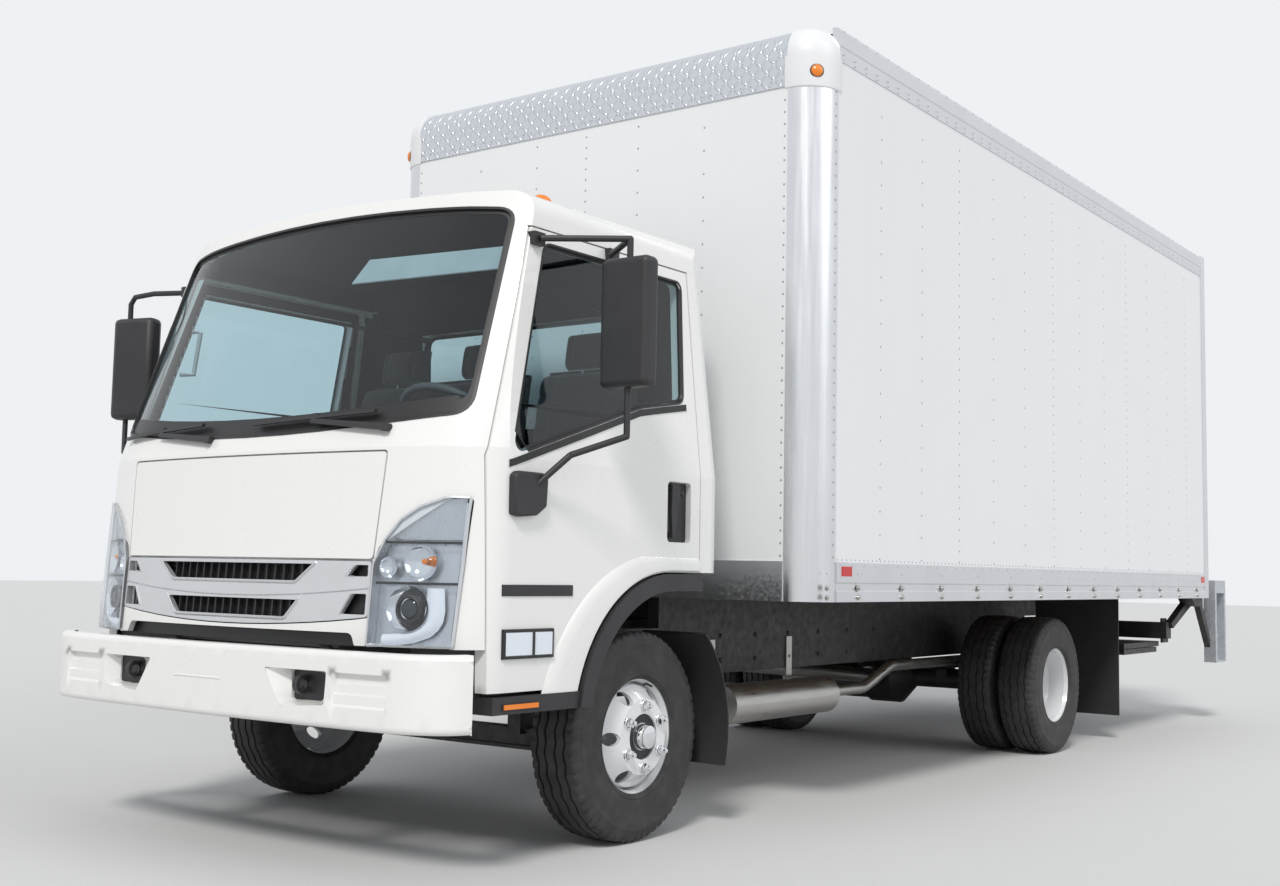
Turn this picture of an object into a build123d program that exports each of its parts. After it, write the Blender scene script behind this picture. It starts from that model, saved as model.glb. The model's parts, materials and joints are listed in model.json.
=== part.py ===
from build123d import *
from math import acos, asin, atan2, cos, degrees, radians, sin, sqrt, tan
import os

os.makedirs("parts", exist_ok=True)

# Low cab forward truck with a van body. Millimetres, +Z up, wheels on z = 0.
# +X is the driver's side, the front faces -Y. While it is modelled y = 0 is the
# front axle; write() moves every piece so that the origin is below the middle.

# Running gear
WHEELBASE = 3810
TYRE_R = 381
TYRE_W = 215
TYRE_GAP = 0.3
BEAD_R = 203
RIM_FLANGE_R = 222
RIM_HALF_W = 89
RIM_WALL = 8
RIM_LIP = 9
DISC_OFFSET = 121
DISC_THICK = 10
DISC_BORE_R = 82
BOLT_CIRCLE_R = 111
HAND_HOLE_R = 24
HAND_HOLES = 6
FRONT_WHEEL_X = 827
REAR_MID_X = 834
KINGPIN_X = 690
KINGPIN_R = 17
PIN_FIT = 0.05
SPINDLE_R = 32
HUB_R = 78

# Chassis
RAIL_OUT_X = 425
RAIL_TOP_Z = 735
RAIL_DEPTH = 212
RAIL_FLANGE = 70
RAIL_THICK = 7
RAIL_FRONT_Y = -965
RAIL_REAR_Y = 4920
SPRING_X = 380
SPRING_W = 64
BUMPER_FRONT_Y = -1210
BUMPER_LOW_Z = 470
BUMPER_TOP_Z = 712
BUMPER_HALF_W = 1048
BUMPER_THICK = 60

# Cab
CAB_HALF_W = 1010
CAB_BACK_Y = 435
CAB_LOW_Z = 586
CAB_SIDE_LOW_Z = 975
CAB_TOP_Z = 2290
COWL_Y = -1088
COWL_Z = 1362
FRONT_SLOPE = 0.067
SCREEN_SLOPE = 0.365
BELT_Z = 1335
ROOF_HALF_W = 915
ROOF_DROP = 28
BOW_R = 5000
BOW_HALF = 600
SHOULDER_R = 900
SHOULDER_ANGLE = radians(28)
WALL = 45
SHUT_GAP = 6
DOOR_FRONT_Y = -905
DOOR_REAR_Y = 250
ARCH_Y = 60
ARCH_R = 544
FLARE_W = 68
FLARE_PROUD = 22
FLOOR_Z = 800
PLATFORM_Z = 1065
FLOOR_THICK = 25
PLATFORM_Y = -400
GLASS = 5
TILT_Y = -1010
TILT_Z = 730

# Van body
BOX_FRONT_Y = 774
BOX_LENGTH = 5486
BOX_HALF_W = 1219
BOX_LOW_Z = 867
BOX_RAIL_H = 162
BOX_TOP_Z = 3266
BOX_WALL = 32
POST_R = 155
TOP_RAIL_H = 148
NOSE_R = 150
BODY_FLOOR = 36
CROSS_H = 100
REAR_FRAME_W = 60
REAR_FRAME_D = 90

# Lift at the rear
DECK_END_Y = 6700
LIFT_POST_W = 80
LIFT_POST_D = 265
LIFT_POST_LOW_Z = 415

ROLL_SLATS = 8
DOORWAY_X = 1160
DOORWAY_TOP_Z = 3105
CAP_Z = 3118
NOSE_Z = 2993
NOSE_SKIN = 6
RAIL_LIP = 6
SIDE_IN_X = BOX_HALF_W - BOX_WALL
BOX_REAR_Y = BOX_FRONT_Y + BOX_LENGTH
CROSS_PITCH = 406.4
BODY_CROSS_Y = [BOX_FRONT_Y + 70] + [BOX_FRONT_Y + 335 + CROSS_PITCH * k for k in range(13)]
LIFT_TOP_Z = 990
LIFT_LINK_X = 1100
LIFT_BEAM_Y0 = 5700
LIFT_BEAM_Y1 = 5800
LIFT_BEAM_Z0 = 595
LIFT_BEAM_Z1 = 703
LIFT_EYE_Y = 5775
LIFT_EYE_Z = 690
HANGER_Z = 809
FOLD_Y0 = 5050
FOLD_TOP_Z = 576
FOLD_THICK = 33
FOLD_HALF_W = 1030
FOLD_ARM_X = 700
HANGER_Y0 = 5990
HANGER_Y1 = 6258
BRACE_Y = 6200
BRACE_LOW_Z = 520
POST_HOLE_Z = (700, 760)

# Hubs, kingpins and steering
HUB_IN_X = 772
SPINDLE_END_X = 905
REAR_SPINDLE_R = 42
REAR_HUB_IN_X = 690
REAR_SPINDLE_END_X = 900
REAR_TUBE_END_X = 680
REAR_TUBE_R = 58
BANJO_R = 160
BOSS_R = 36
BEAM_TOP_Z = 372
SPRING_SEAT_Z = 441
SPRING_EYE_Z = 485
LEAF_STACK = 44
FRONT_SPRING_HALF = 600
REAR_SPRING_HALF = 680
TIE_Y = 165
TIE_X = KINGPIN_X
TIE_Z = 338
TIE_PIN_R = 10
TIE_OPEN_FIT = 0.3
TIE_ARM_THICK = 26
PINION_LEN = 200

# Under the frame
CROSSMEMBER_Y = (-930, 1500, 2350, 3150, 4500, 4880)
CROSSMEMBER_H = 66
ENGINE_HALF_W = 280
ENGINE_FRONT_Y = -330
ENGINE_REAR_Y = 560
ENGINE_LOW_Z = 540
ENGINE_TOP_Z = 1005
GEARBOX_END_Y = 1180
SHAFT_START_Z = 600
SHAFT_END_Y = WHEELBASE - PINION_LEN
SHAFT_END_Z = TYRE_R
MUFFLER_R = 88
MUFFLER_X = 560
MUFFLER_Z = 400
MUFFLER_Y0 = 1100
MUFFLER_Y1 = 2020
TAIL_X = 512
TAIL_Z = 500
TAIL_R = 28
TAIL_END_Y = 4900
TANK_IN_X = 450
TANK_OUT_X = 800
TANK_Y0 = 1150
TANK_Y1 = 2300
TANK_LOW_Z = 330
TANK_TOP_Z = 690
GUARD_R = 482
GUARD_X0 = 700
GUARD_X1 = 1000
GUARD_STAY_Y = 420
FLAP_X0 = 560
FLAP_X1 = 1090
FLAP_Y = BODY_CROSS_Y[10]
FLAP_LOW_Z = 150
BUMPER_SKIN = 6
TOW_X0 = 386
TOW_X1 = 536
TOW_Z0 = 560
TOW_Z1 = 645
TOW_EYE_X = 445
TOW_EYE_Y = BUMPER_FRONT_Y + 42
TOW_EYE_Z = 597
TOW_EYE_R = 16
TILT_SHAFT_R = 25
TILT_EYE_R = 38
TILT_BRACKET_X = 385

# Cab panels and openings
ENVELOPE_LOW_Z = CAB_LOW_Z - 200
ENVELOPE_TOP_Z = CAB_TOP_Z + 100
ROOF_CORNER_R = 95
BACK_CORNER_R = 120
BACK_LEAN = 35
ROOF_SPLIT_Z = 2131
DOOR_TOP_Z = 2125
DOOR_TOP_FRONT_Y = -666
NOSE_LOW_Z = 722
BULKHEAD_Y = -985
SHELF_Z = 1400
SCREEN_LOW_X = 905
SCREEN_LOW_Z = 1478
SCREEN_LOW_ARCH = 56
SCREEN_TOP_X = 862
SCREEN_TOP_Z = 2190
SCREEN_TOP_ARCH = 40
SCREEN_CORNER_R = 55
LID_LOW_X = 645
LID_LOW_Z = 1000
LID_TOP_X = 666
LID_TOP_Z = 1346
LID_THICK = 24
FRAME_LEDGE = 30
GRILLE_HALF_W = 645
GRILLE_GAP = 5
GRILLE_TOP_Z = 992
GRILLE_THICK = 30
GRILLE_SLOTS = ((880, 925, -400, 400), (795, 850, -400, 400), (880, 925, 455, 615), (795, 850, 455, 615))
LAMP_IN_X = 650
LAMP_LOW_X = 930
LAMP_TOP_X = 955
LAMP_TOP_Z = 1200
LAMP_MID_Z = 1040
LAMP_PROUD = 10
LAMP_DEPTH = 40
WINDOW_FRONT_Y = -822
WINDOW_LOW_Z = 1338
WINDOW_KINK_Y = -110
WINDOW_KINK_Z = 1568
WINDOW_REAR_Y = 165
WINDOW_REAR_Z = 1614
WINDOW_TOP_Z = 2078
WINDOW_TOP_FRONT_Y = -600
REAR_WINDOW_HALF_W = 600
REAR_WINDOW_LOW_Z = 1560
REAR_WINDOW_TOP_Z = 2020
GLASS_INSET = 9
STEP_IN_X = 640
STEP_Y0 = -880
STEP_Y1 = -475
STEP_Z = 620
STEP_WALL = 15
HOUSE_X = 928
SILL_LOW_Z = 519
HANDLE_Y0 = 40
HANDLE_Y1 = 190
HANDLE_Z0 = 1085
HANDLE_Z1 = 1308
HANDLE_DEPTH = 24
MIRROR_X0 = 1110
MIRROR_X1 = 1310
MIRROR_Y0 = -521
MIRROR_D = 75
MIRROR_Z0 = 1582
MIRROR_Z1 = 2020
MIRROR_TUBE_R = 11
WIPER_IN = 8
WIPER_OUT = 22
WIPER_PIVOTS = ((650, 1425), (-200, 1412))
WIPER_ARM = 330
WIPER_BLADE = 560
DASH_HALF_W = 892
WHEEL_RING_R = 215
WHEEL_X = 420
WHEEL_Y = -470
WHEEL_Z = 1480
WHEEL_TILT = -40

SEAT = 0.3
FRONT_MOST_Y = BUMPER_FRONT_Y
REAR_MOST_Y = DECK_END_Y + 20
MID_Y = (FRONT_MOST_Y + REAR_MOST_Y) / 2


def box(x0, x1, y0, y1, z0, z1):
    return Pos((x0 + x1) / 2, (y0 + y1) / 2, (z0 + z1) / 2) * Box(x1 - x0, y1 - y0, z1 - z0)


def rod(axis, radius, start, end, at):
    """Round bar along one axis; at holds the other two coordinates in order."""
    turn = {"x": Rot(0, 90, 0), "y": Rot(-90, 0, 0), "z": Rot(0, 0, 0)}[axis]
    middle = (start + end) / 2
    place = {"x": (middle, at[0], at[1]), "y": (at[0], middle, at[1]), "z": (at[0], at[1], middle)}[axis]
    return Pos(*place) * turn * Cylinder(radius, abs(end - start))


def side_plane(x):
    """Plane whose local axes are (y, z), seen from the left side."""
    return Plane(origin=(x, 0, 0), x_dir=(0, 1, 0), z_dir=(1, 0, 0))


def front_plane(y):
    """Plane whose local axes are (x, z), with its normal towards the rear."""
    return Plane(origin=(0, y, 0), x_dir=(1, 0, 0), z_dir=(0, -1, 0))


def side_plate(points, x0, x1):
    face = make_face(side_plane(x0) * Polyline(*points, close=True))
    return extrude(face, amount=x1 - x0, dir=(1, 0, 0))


def front_plate(points, y0, y1):
    face = make_face(front_plane(y0) * Polyline(*points, close=True))
    return extrude(face, amount=y1 - y0, dir=(0, 1, 0))


def flat_plate(points, z0, z1):
    face = make_face(Plane.XY.offset(z0) * Polyline(*points, close=True))
    return extrude(face, amount=z1 - z0, dir=(0, 0, 1))


def both(shape):
    """The shape and its mirror image on the right side."""
    return group([shape, mirror(shape, about=Plane.YZ)])


def right(shape):
    return mirror(shape, about=Plane.YZ)


def group(shapes):
    solids = []
    for shape in shapes:
        solids += shape.solids()
    return Compound(solids)


def write(name, shape):
    export_step(Pos(0, -MID_Y, 0) * shape, f"parts/{name}.step")


# Wheels

def ring(points, x):
    """Solid of revolution about the axle line from (along axle, radius) points."""
    plane = Plane(origin=(x, 0, 0), x_dir=(1, 0, 0), z_dir=(0, -1, 0))
    face = make_face(plane * Polyline(*points, close=True))
    return revolve(face, axis=Axis.X)


def tyre(x):
    half = TYRE_W / 2
    low = BEAD_R + TYRE_GAP
    side = [
        (RIM_HALF_W - RIM_LIP - 3 - TYRE_GAP, low), (RIM_HALF_W - RIM_LIP - TYRE_GAP, RIM_FLANGE_R + TYRE_GAP),
        (half * 0.93, low + 44), (half, low + 95), (half * 0.9, TYRE_R - 28), (half * 0.78, TYRE_R),
    ]
    return ring(side + [(-a, r) for a, r in side[::-1]], x)


def rim(x, outward):
    """Steel rim with its disc and hand holes; outward is +1 or -1 along X."""
    s = outward
    inner = BEAD_R - RIM_WALL
    face = DISC_OFFSET
    barrel = ring([
        (-RIM_HALF_W, RIM_FLANGE_R), (-RIM_HALF_W + RIM_LIP, RIM_FLANGE_R), (-RIM_HALF_W + RIM_LIP + 3, BEAD_R),
        (RIM_HALF_W - RIM_LIP - 3, BEAD_R), (RIM_HALF_W - RIM_LIP, RIM_FLANGE_R), (RIM_HALF_W, RIM_FLANGE_R),
        (RIM_HALF_W, inner + 8), (RIM_HALF_W - 20, inner), (-RIM_HALF_W + 20, inner), (-RIM_HALF_W, inner + 8),
    ], x)
    disc = ring([
        (s * 32, inner), (s * 70, inner - 12), (s * face, 136), (s * face, DISC_BORE_R),
        (s * (face - DISC_THICK), DISC_BORE_R), (s * (face - DISC_THICK), 130), (s * 60, inner - 22),
        (s * 22, inner - 4), (s * 22, inner),
    ], x)
    slope_r = (136 + inner - 12) / 2
    for k in range(HAND_HOLES):
        hole = Pos(x + s * (face + 70) / 2, 0, slope_r) * Rot(0, 90, 0) * Cylinder(HAND_HOLE_R, 90)
        disc -= Rot(360 / HAND_HOLES * (k + 0.5), 0, 0) * hole
    return barrel + disc


def at_axle(shape, y):
    return Pos(0, y, TYRE_R) * shape


def front_rim():
    disc_x = FRONT_WHEEL_X + DISC_OFFSET - DISC_THICK
    hub = rod("x", HUB_R, HUB_IN_X, disc_x - 12, (0, 0)) + rod("x", 128, disc_x - 12, disc_x, (0, 0))
    hub += rod("x", 38, disc_x, disc_x + 34, (0, 0))
    hub -= rod("x", SPINDLE_R + PIN_FIT, HUB_IN_X - 1, SPINDLE_END_X + 4, (0, 0))
    return at_axle(rim(FRONT_WHEEL_X, 1) + hub, 0)


def rear_rims():
    inner, outer = REAR_MID_X - DISC_OFFSET, REAR_MID_X + DISC_OFFSET
    hub_end = REAR_MID_X - DISC_THICK
    hub = rod("x", 100, REAR_HUB_IN_X, hub_end, (0, 0)) + rod("x", 128, hub_end - 14, hub_end, (0, 0))
    hub += rod("x", 68, hub_end, REAR_MID_X + 95, (0, 0))
    hub -= rod("x", REAR_SPINDLE_R + PIN_FIT, REAR_HUB_IN_X - 1, REAR_SPINDLE_END_X + 4, (0, 0))
    return at_axle(rim(inner, 1) + rim(outer, -1) + hub, WHEELBASE)


def rear_tyres():
    pair = group([tyre(REAR_MID_X - DISC_OFFSET), tyre(REAR_MID_X + DISC_OFFSET)])
    return at_axle(pair, WHEELBASE)


# Axles and steering

def front_axle_beam():
    half = [
        (0, 292), (470, 292), (630, 345), (KINGPIN_X, 345), (KINGPIN_X, 420), (600, 420), (500, BEAM_TOP_Z),
        (0, BEAM_TOP_Z),
    ]
    left = front_plate(half, -38, 38)
    for side in (-1, 1):
        left -= box(-1, 460, min(side * 26, side * 40), max(side * 26, side * 40), 306, BEAM_TOP_Z - 14)
    left += box(SPRING_X - SPRING_W / 2, SPRING_X + SPRING_W / 2, -60, 60, BEAM_TOP_Z - 20, SPRING_SEAT_Z)
    left += rod("z", BOSS_R, TYRE_R - 50, TYRE_R + 50, (KINGPIN_X, 0))
    left -= rod("z", KINGPIN_R + PIN_FIT, 200, 500, (KINGPIN_X, 0))
    return left + right(left)


def knuckle():
    low, high = TYRE_R - 90, TYRE_R + 90
    arm_end = KINGPIN_X + 75
    body = box(KINGPIN_X - 28, arm_end, -40, 40, low, low + 38) + box(KINGPIN_X - 28, arm_end, -40, 40, high - 38, high)
    body += box(arm_end - 28, arm_end, -46, 46, low, high)
    body += rod("z", KINGPIN_R, low, high, (KINGPIN_X, 0))
    body += rod("x", SPINDLE_R, arm_end - 5, SPINDLE_END_X, (0, TYRE_R))
    arm = flat_plate([
        (KINGPIN_X - 26, 10), (KINGPIN_X + 26, 10), (TIE_X + 20, TIE_Y + 6), (TIE_X, TIE_Y + 20), (TIE_X - 20, TIE_Y + 6),
    ], low, low + TIE_ARM_THICK)
    pin = rod("z", TIE_PIN_R, low, TIE_Z + 16, (TIE_X, TIE_Y))
    return body + arm + pin


def tie_rod():
    """Cross rod whose eyes sit on the pins of the two steering arms."""
    bar = rod("x", 14, -TIE_X + 15, TIE_X - 15, (TIE_Y, TIE_Z))
    for side, fit in ((1, PIN_FIT), (-1, TIE_OPEN_FIT)):
        bar += rod("z", 22, TIE_Z - 12, TIE_Z + 12, (side * TIE_X, TIE_Y))
        bar -= rod("z", TIE_PIN_R + fit, TIE_Z - 20, TIE_Z + 20, (side * TIE_X, TIE_Y))
    return bar


def rear_axle_housing():
    half = [(0, BANJO_R), (90, BANJO_R), (190, REAR_TUBE_R), (REAR_TUBE_END_X, REAR_TUBE_R),
            (REAR_TUBE_END_X, REAR_SPINDLE_R), (REAR_SPINDLE_END_X, REAR_SPINDLE_R), (REAR_SPINDLE_END_X, 0)]
    axle = ring(half + [(-a, r) for a, r in half[:0:-1]], 0)
    axle += rod("y", 62, -PINION_LEN, -BANJO_R / 2, (0, 0))
    seat = box(SPRING_X - SPRING_W / 2, SPRING_X + SPRING_W / 2, -60, 60, 0, SPRING_SEAT_Z - TYRE_R)
    return at_axle(axle + seat + right(seat), WHEELBASE)


def leaf_spring(y, half_len):
    """Stack of leaves with eyes, hung from two brackets below the frame rail."""
    seat, eye = SPRING_SEAT_Z, SPRING_EYE_Z
    x0, x1 = SPRING_X - SPRING_W / 2, SPRING_X + SPRING_W / 2
    plane = side_plane(x0)
    top = ThreePointArc((y - half_len, eye + 6), (y, seat + LEAF_STACK), (y + half_len, eye + 6))
    down = Line((y + half_len, eye + 6), (y + half_len, eye - 8))
    under = Polyline((y + half_len, eye - 8), (y + 0.62 * half_len, seat + 22), (y + 0.25 * half_len, seat),
                     (y - 0.25 * half_len, seat), (y - 0.62 * half_len, seat + 22), (y - half_len, eye - 8))
    up = Line((y - half_len, eye - 8), (y - half_len, eye + 6))
    spring = extrude(make_face(plane * Curve([top, down, under, up])), amount=SPRING_W, dir=(1, 0, 0))
    for end in (y - half_len, y + half_len):
        spring += rod("x", 18, x0 - 4, x1 + 4, (end, eye))
        for cheek in (x0 - 6, x1):
            spring += box(cheek, cheek + 6, end - 26, end + 26, eye - 24, RAIL_TOP_Z - RAIL_DEPTH)
    return spring


def leaf_springs():
    return group([both(leaf_spring(0, FRONT_SPRING_HALF)), both(leaf_spring(WHEELBASE, REAR_SPRING_HALF))])


# Chassis

def frame_rails():
    low = RAIL_TOP_Z - RAIL_DEPTH
    rail = box(RAIL_OUT_X - RAIL_FLANGE, RAIL_OUT_X, RAIL_FRONT_Y, RAIL_REAR_Y, low, RAIL_TOP_Z)
    rail -= box(RAIL_OUT_X - RAIL_FLANGE - 1, RAIL_OUT_X - RAIL_THICK, RAIL_FRONT_Y - 1, RAIL_REAR_Y + 1,
                low + RAIL_THICK, RAIL_TOP_Z - RAIL_THICK)
    head = box(TILT_BRACKET_X, RAIL_OUT_X, TILT_Y - 20, RAIL_FRONT_Y, TILT_Z - 70, TILT_Z)
    head += rod("x", TILT_EYE_R, TILT_BRACKET_X, RAIL_OUT_X, (TILT_Y, TILT_Z))
    head -= rod("x", TILT_SHAFT_R + PIN_FIT, TILT_BRACKET_X - 1, RAIL_OUT_X + 1, (TILT_Y, TILT_Z))
    return both(rail + head)


def frame_crossmembers():
    inside = RAIL_OUT_X - RAIL_THICK
    top = RAIL_TOP_Z - RAIL_THICK - 2
    pieces = []
    for y in CROSSMEMBER_Y:
        outer = box(-inside, inside, y - 35, y + 35, top - CROSSMEMBER_H, top)
        pieces.append(outer - box(-inside - 1, inside + 1, y - 29, y + 36, top - CROSSMEMBER_H + 6, top - 6))
    return group(pieces)


def engine_block():
    block = box(-ENGINE_HALF_W, ENGINE_HALF_W, ENGINE_FRONT_Y, ENGINE_REAR_Y, ENGINE_LOW_Z, ENGINE_TOP_Z)
    block += box(-165, 165, ENGINE_REAR_Y, GEARBOX_END_Y, 500, 760)
    block += box(-RAIL_OUT_X + RAIL_THICK, RAIL_OUT_X - RAIL_THICK, 60, 130, 610, 650)
    return block


def propshaft():
    length = sqrt((SHAFT_END_Y - GEARBOX_END_Y) ** 2 + (SHAFT_END_Z - SHAFT_START_Z) ** 2)
    drop = degrees(atan2(SHAFT_START_Z - SHAFT_END_Z, SHAFT_END_Y - GEARBOX_END_Y))
    shaft = rod("y", 42, 0, length, (0, 0)) + rod("y", 55, -40, 60, (0, 0))
    shaft += rod("y", 55, length - 60, length + 40, (0, 0))
    shaft = Pos(0, GEARBOX_END_Y, SHAFT_START_Z) * Rot(-drop, 0, 0) * shaft
    return shaft & box(-100, 100, GEARBOX_END_Y, SHAFT_END_Y, 0, 1000)


def exhaust():
    muffler = rod("y", MUFFLER_R, MUFFLER_Y0, MUFFLER_Y1, (MUFFLER_X, MUFFLER_Z))
    hangers = []
    for y in (MUFFLER_Y0 + 120, MUFFLER_Y1 - 120):
        hangers.append(box(RAIL_OUT_X, RAIL_OUT_X + 8, y - 25, y + 25, MUFFLER_Z, RAIL_TOP_Z - 60))
        hangers.append(box(RAIL_OUT_X, MUFFLER_X, y - 25, y + 25, MUFFLER_Z + MUFFLER_R - 12, MUFFLER_Z + MUFFLER_R))
    route = [(TAIL_X, MUFFLER_Y1 - 5, MUFFLER_Z), (TAIL_X, MUFFLER_Y1 + 500, MUFFLER_Z),
             (TAIL_X, MUFFLER_Y1 + 800, TAIL_Z), (TAIL_X, TAIL_END_Y, TAIL_Z)]
    path = FilletPolyline(*route, radius=220)
    tail = sweep(Plane(origin=route[0], z_dir=(0, 1, 0)) * Circle(TAIL_R), path=path)
    inlet = rod("y", 32, ENGINE_REAR_Y + 60, MUFFLER_Y0 + 5, (TAIL_X, MUFFLER_Z))
    body = muffler + tail + inlet
    for hanger in hangers:
        body += hanger
    return body


def fuel_tank():
    tank = box(-TANK_OUT_X, -TANK_IN_X, TANK_Y0, TANK_Y1, TANK_LOW_Z, TANK_TOP_Z)
    tank = fillet(tank.edges().filter_by(Axis.Y), 60)
    for y in (TANK_Y0 + 200, TANK_Y1 - 200):
        tank += box(-TANK_OUT_X - 5, -RAIL_OUT_X, y - 30, y + 30, TANK_LOW_Z - 5, TANK_LOW_Z + 60)
        tank += box(-TANK_IN_X - 40, -RAIL_OUT_X, y - 30, y + 30, TANK_LOW_Z, TANK_TOP_Z - 40)
    return tank


def bumper_line(depth):
    """Plan points of the bumper at a depth behind its face, from centre to side."""
    return [(0, BUMPER_FRONT_Y + depth), (430, BUMPER_FRONT_Y + 10 + depth),
            (834 - depth * 0.2, BUMPER_FRONT_Y + 32 + depth), (990 - depth * 0.6, BUMPER_FRONT_Y + 95 + depth * 0.8),
            (BUMPER_HALF_W - depth, BUMPER_FRONT_Y + 190)]


def front_bumper():
    def band(depth0, depth1, z0, z1):
        near, far = bumper_line(depth0), bumper_line(depth1)
        loop = near + far[::-1]
        mirrored = [(-x, y) for x, y in loop]
        return flat_plate(loop, z0, z1) + flat_plate(mirrored, z0, z1)

    body = band(0, BUMPER_SKIN, BUMPER_LOW_Z, BUMPER_TOP_Z)
    body += band(BUMPER_SKIN - 1, BUMPER_THICK, BUMPER_TOP_Z - BUMPER_SKIN, BUMPER_TOP_Z)
    body += band(BUMPER_SKIN - 1, BUMPER_THICK, BUMPER_LOW_Z, BUMPER_LOW_Z + BUMPER_SKIN)
    slot = box(TOW_X0, TOW_X1, BUMPER_FRONT_Y - 20, BUMPER_FRONT_Y + 50, TOW_Z0, TOW_Z1)
    body -= slot + right(slot)
    carrier = box(RAIL_OUT_X - RAIL_FLANGE, RAIL_OUT_X, BUMPER_FRONT_Y + 13, RAIL_FRONT_Y, 545, 625)
    carrier -= box(RAIL_OUT_X - 20, RAIL_OUT_X + 1, BUMPER_FRONT_Y, BUMPER_FRONT_Y + 90, 500, 700)
    eye = box(TOW_EYE_X - 10, TOW_EYE_X + 10, BUMPER_FRONT_Y + 12, RAIL_FRONT_Y - 30, 565, 625)
    eye -= rod("x", TOW_EYE_R, TOW_EYE_X - 20, TOW_EYE_X + 20, (TOW_EYE_Y, TOW_EYE_Z))
    eye += box(RAIL_OUT_X - 1, TOW_EYE_X + 1, RAIL_FRONT_Y - 90, RAIL_FRONT_Y - 30, 565, 625)
    return body + carrier + right(carrier) + eye + right(eye)


def mudguards():
    arc = Circle(GUARD_R + 6) - Circle(GUARD_R)
    guard = extrude(side_plane(GUARD_X0) * Pos(0, TYRE_R) * arc, amount=GUARD_X1 - GUARD_X0, dir=(1, 0, 0))
    guard &= box(0, 2000, 320, 700, 240, 790)
    guard += box(RAIL_OUT_X, GUARD_X0 + 5, GUARD_STAY_Y - 12, GUARD_STAY_Y + 12, 640, 664)
    flap = box(FLAP_X0, FLAP_X1, FLAP_Y - 5, FLAP_Y + 5, FLAP_LOW_Z, BOX_LOW_Z)
    return group([both(guard), both(flap)])


# Cab skin: every piece of it is cut from the space between two nested envelopes

def bow_centres():
    a1, a2 = asin(BOW_HALF / BOW_R), SHOULDER_ANGLE
    c1 = (0, BOW_R)
    c2 = ((BOW_R - SHOULDER_R) * sin(a1), BOW_R - (BOW_R - SHOULDER_R) * cos(a1))
    r3 = (CAB_HALF_W - c2[0] - SHOULDER_R * sin(a2)) / (1 - sin(a2))
    c3 = (c2[0] + (SHOULDER_R - r3) * sin(a2), c2[1] - (SHOULDER_R - r3) * cos(a2))
    return a1, a2, c1, c2, c3, r3


def bow(x):
    """How far the cab's front lies behind its middle at a distance x from it."""
    a1, a2, c1, c2, c3, r3 = bow_centres()
    x = abs(x)
    if x <= BOW_HALF:
        return BOW_R - sqrt(BOW_R ** 2 - x ** 2)
    if x <= c2[0] + SHOULDER_R * sin(a2):
        return c2[1] - sqrt(SHOULDER_R ** 2 - (x - c2[0]) ** 2)
    return c3[1] - sqrt(max(r3 ** 2 - (x - c3[0]) ** 2, 0))


def plan_face(inset, centre_y, z, length):
    """Plan outline of the cab, bowed in front, at a height z."""
    a1, a2, c1, c2, c3, r3 = bow_centres()

    def on(centre, radius, angle, side):
        r = radius - inset
        return (side * (centre[0] + r * sin(angle)), centre_y + centre[1] - r * cos(angle))

    edges = [ThreePointArc(on(c1, BOW_R, a1, -1), on(c1, BOW_R, 0, 1), on(c1, BOW_R, a1, 1))]
    ends = []
    for side in (1, -1):
        edges.append(ThreePointArc(on(c2, SHOULDER_R, a1, side), on(c2, SHOULDER_R, (a1 + a2) / 2, side),
                                   on(c2, SHOULDER_R, a2, side)))
        quarter = radians(90)
        edges.append(ThreePointArc(on(c3, r3, a2, side), on(c3, r3, (a2 + quarter) / 2, side),
                                   on(c3, r3, quarter, side)))
        ends.append(on(c3, r3, quarter, side))
    back = centre_y + length
    edges.append(Polyline(ends[0], (ends[0][0], back), (ends[1][0], back), ends[1]))
    return make_face(Plane.XY.offset(z) * Curve(edges))


def rear_outline(half, back, radius, z):
    """Plan outline with rounded rear corners, far open to the front."""
    k = radius * (1 - cos(radians(45)))
    edges = [
        Line((-half, -1500), (half, -1500)), Line((half, -1500), (half, back - radius)),
        ThreePointArc((half, back - radius), (half - k, back - k), (half - radius, back)),
        Line((half - radius, back), (radius - half, back)),
        ThreePointArc((radius - half, back), (k - half, back - k), (-half, back - radius)),
        Line((-half, back - radius), (-half, -1500)),
    ]
    return make_face(Plane.XY.offset(z) * Curve(edges))


def bowed_form(inset, slope):
    """The cab's bowed plan swept up along one slope of its front."""
    height = ENVELOPE_TOP_Z - ENVELOPE_LOW_Z
    start_y = COWL_Y + slope * (ENVELOPE_LOW_Z - COWL_Z) + inset * (sqrt(1 + slope ** 2) - 1)
    face = plan_face(inset, start_y, ENVELOPE_LOW_Z, 3000)
    return extrude(face, amount=height * sqrt(1 + slope ** 2), dir=(0, slope, 1))


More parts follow.
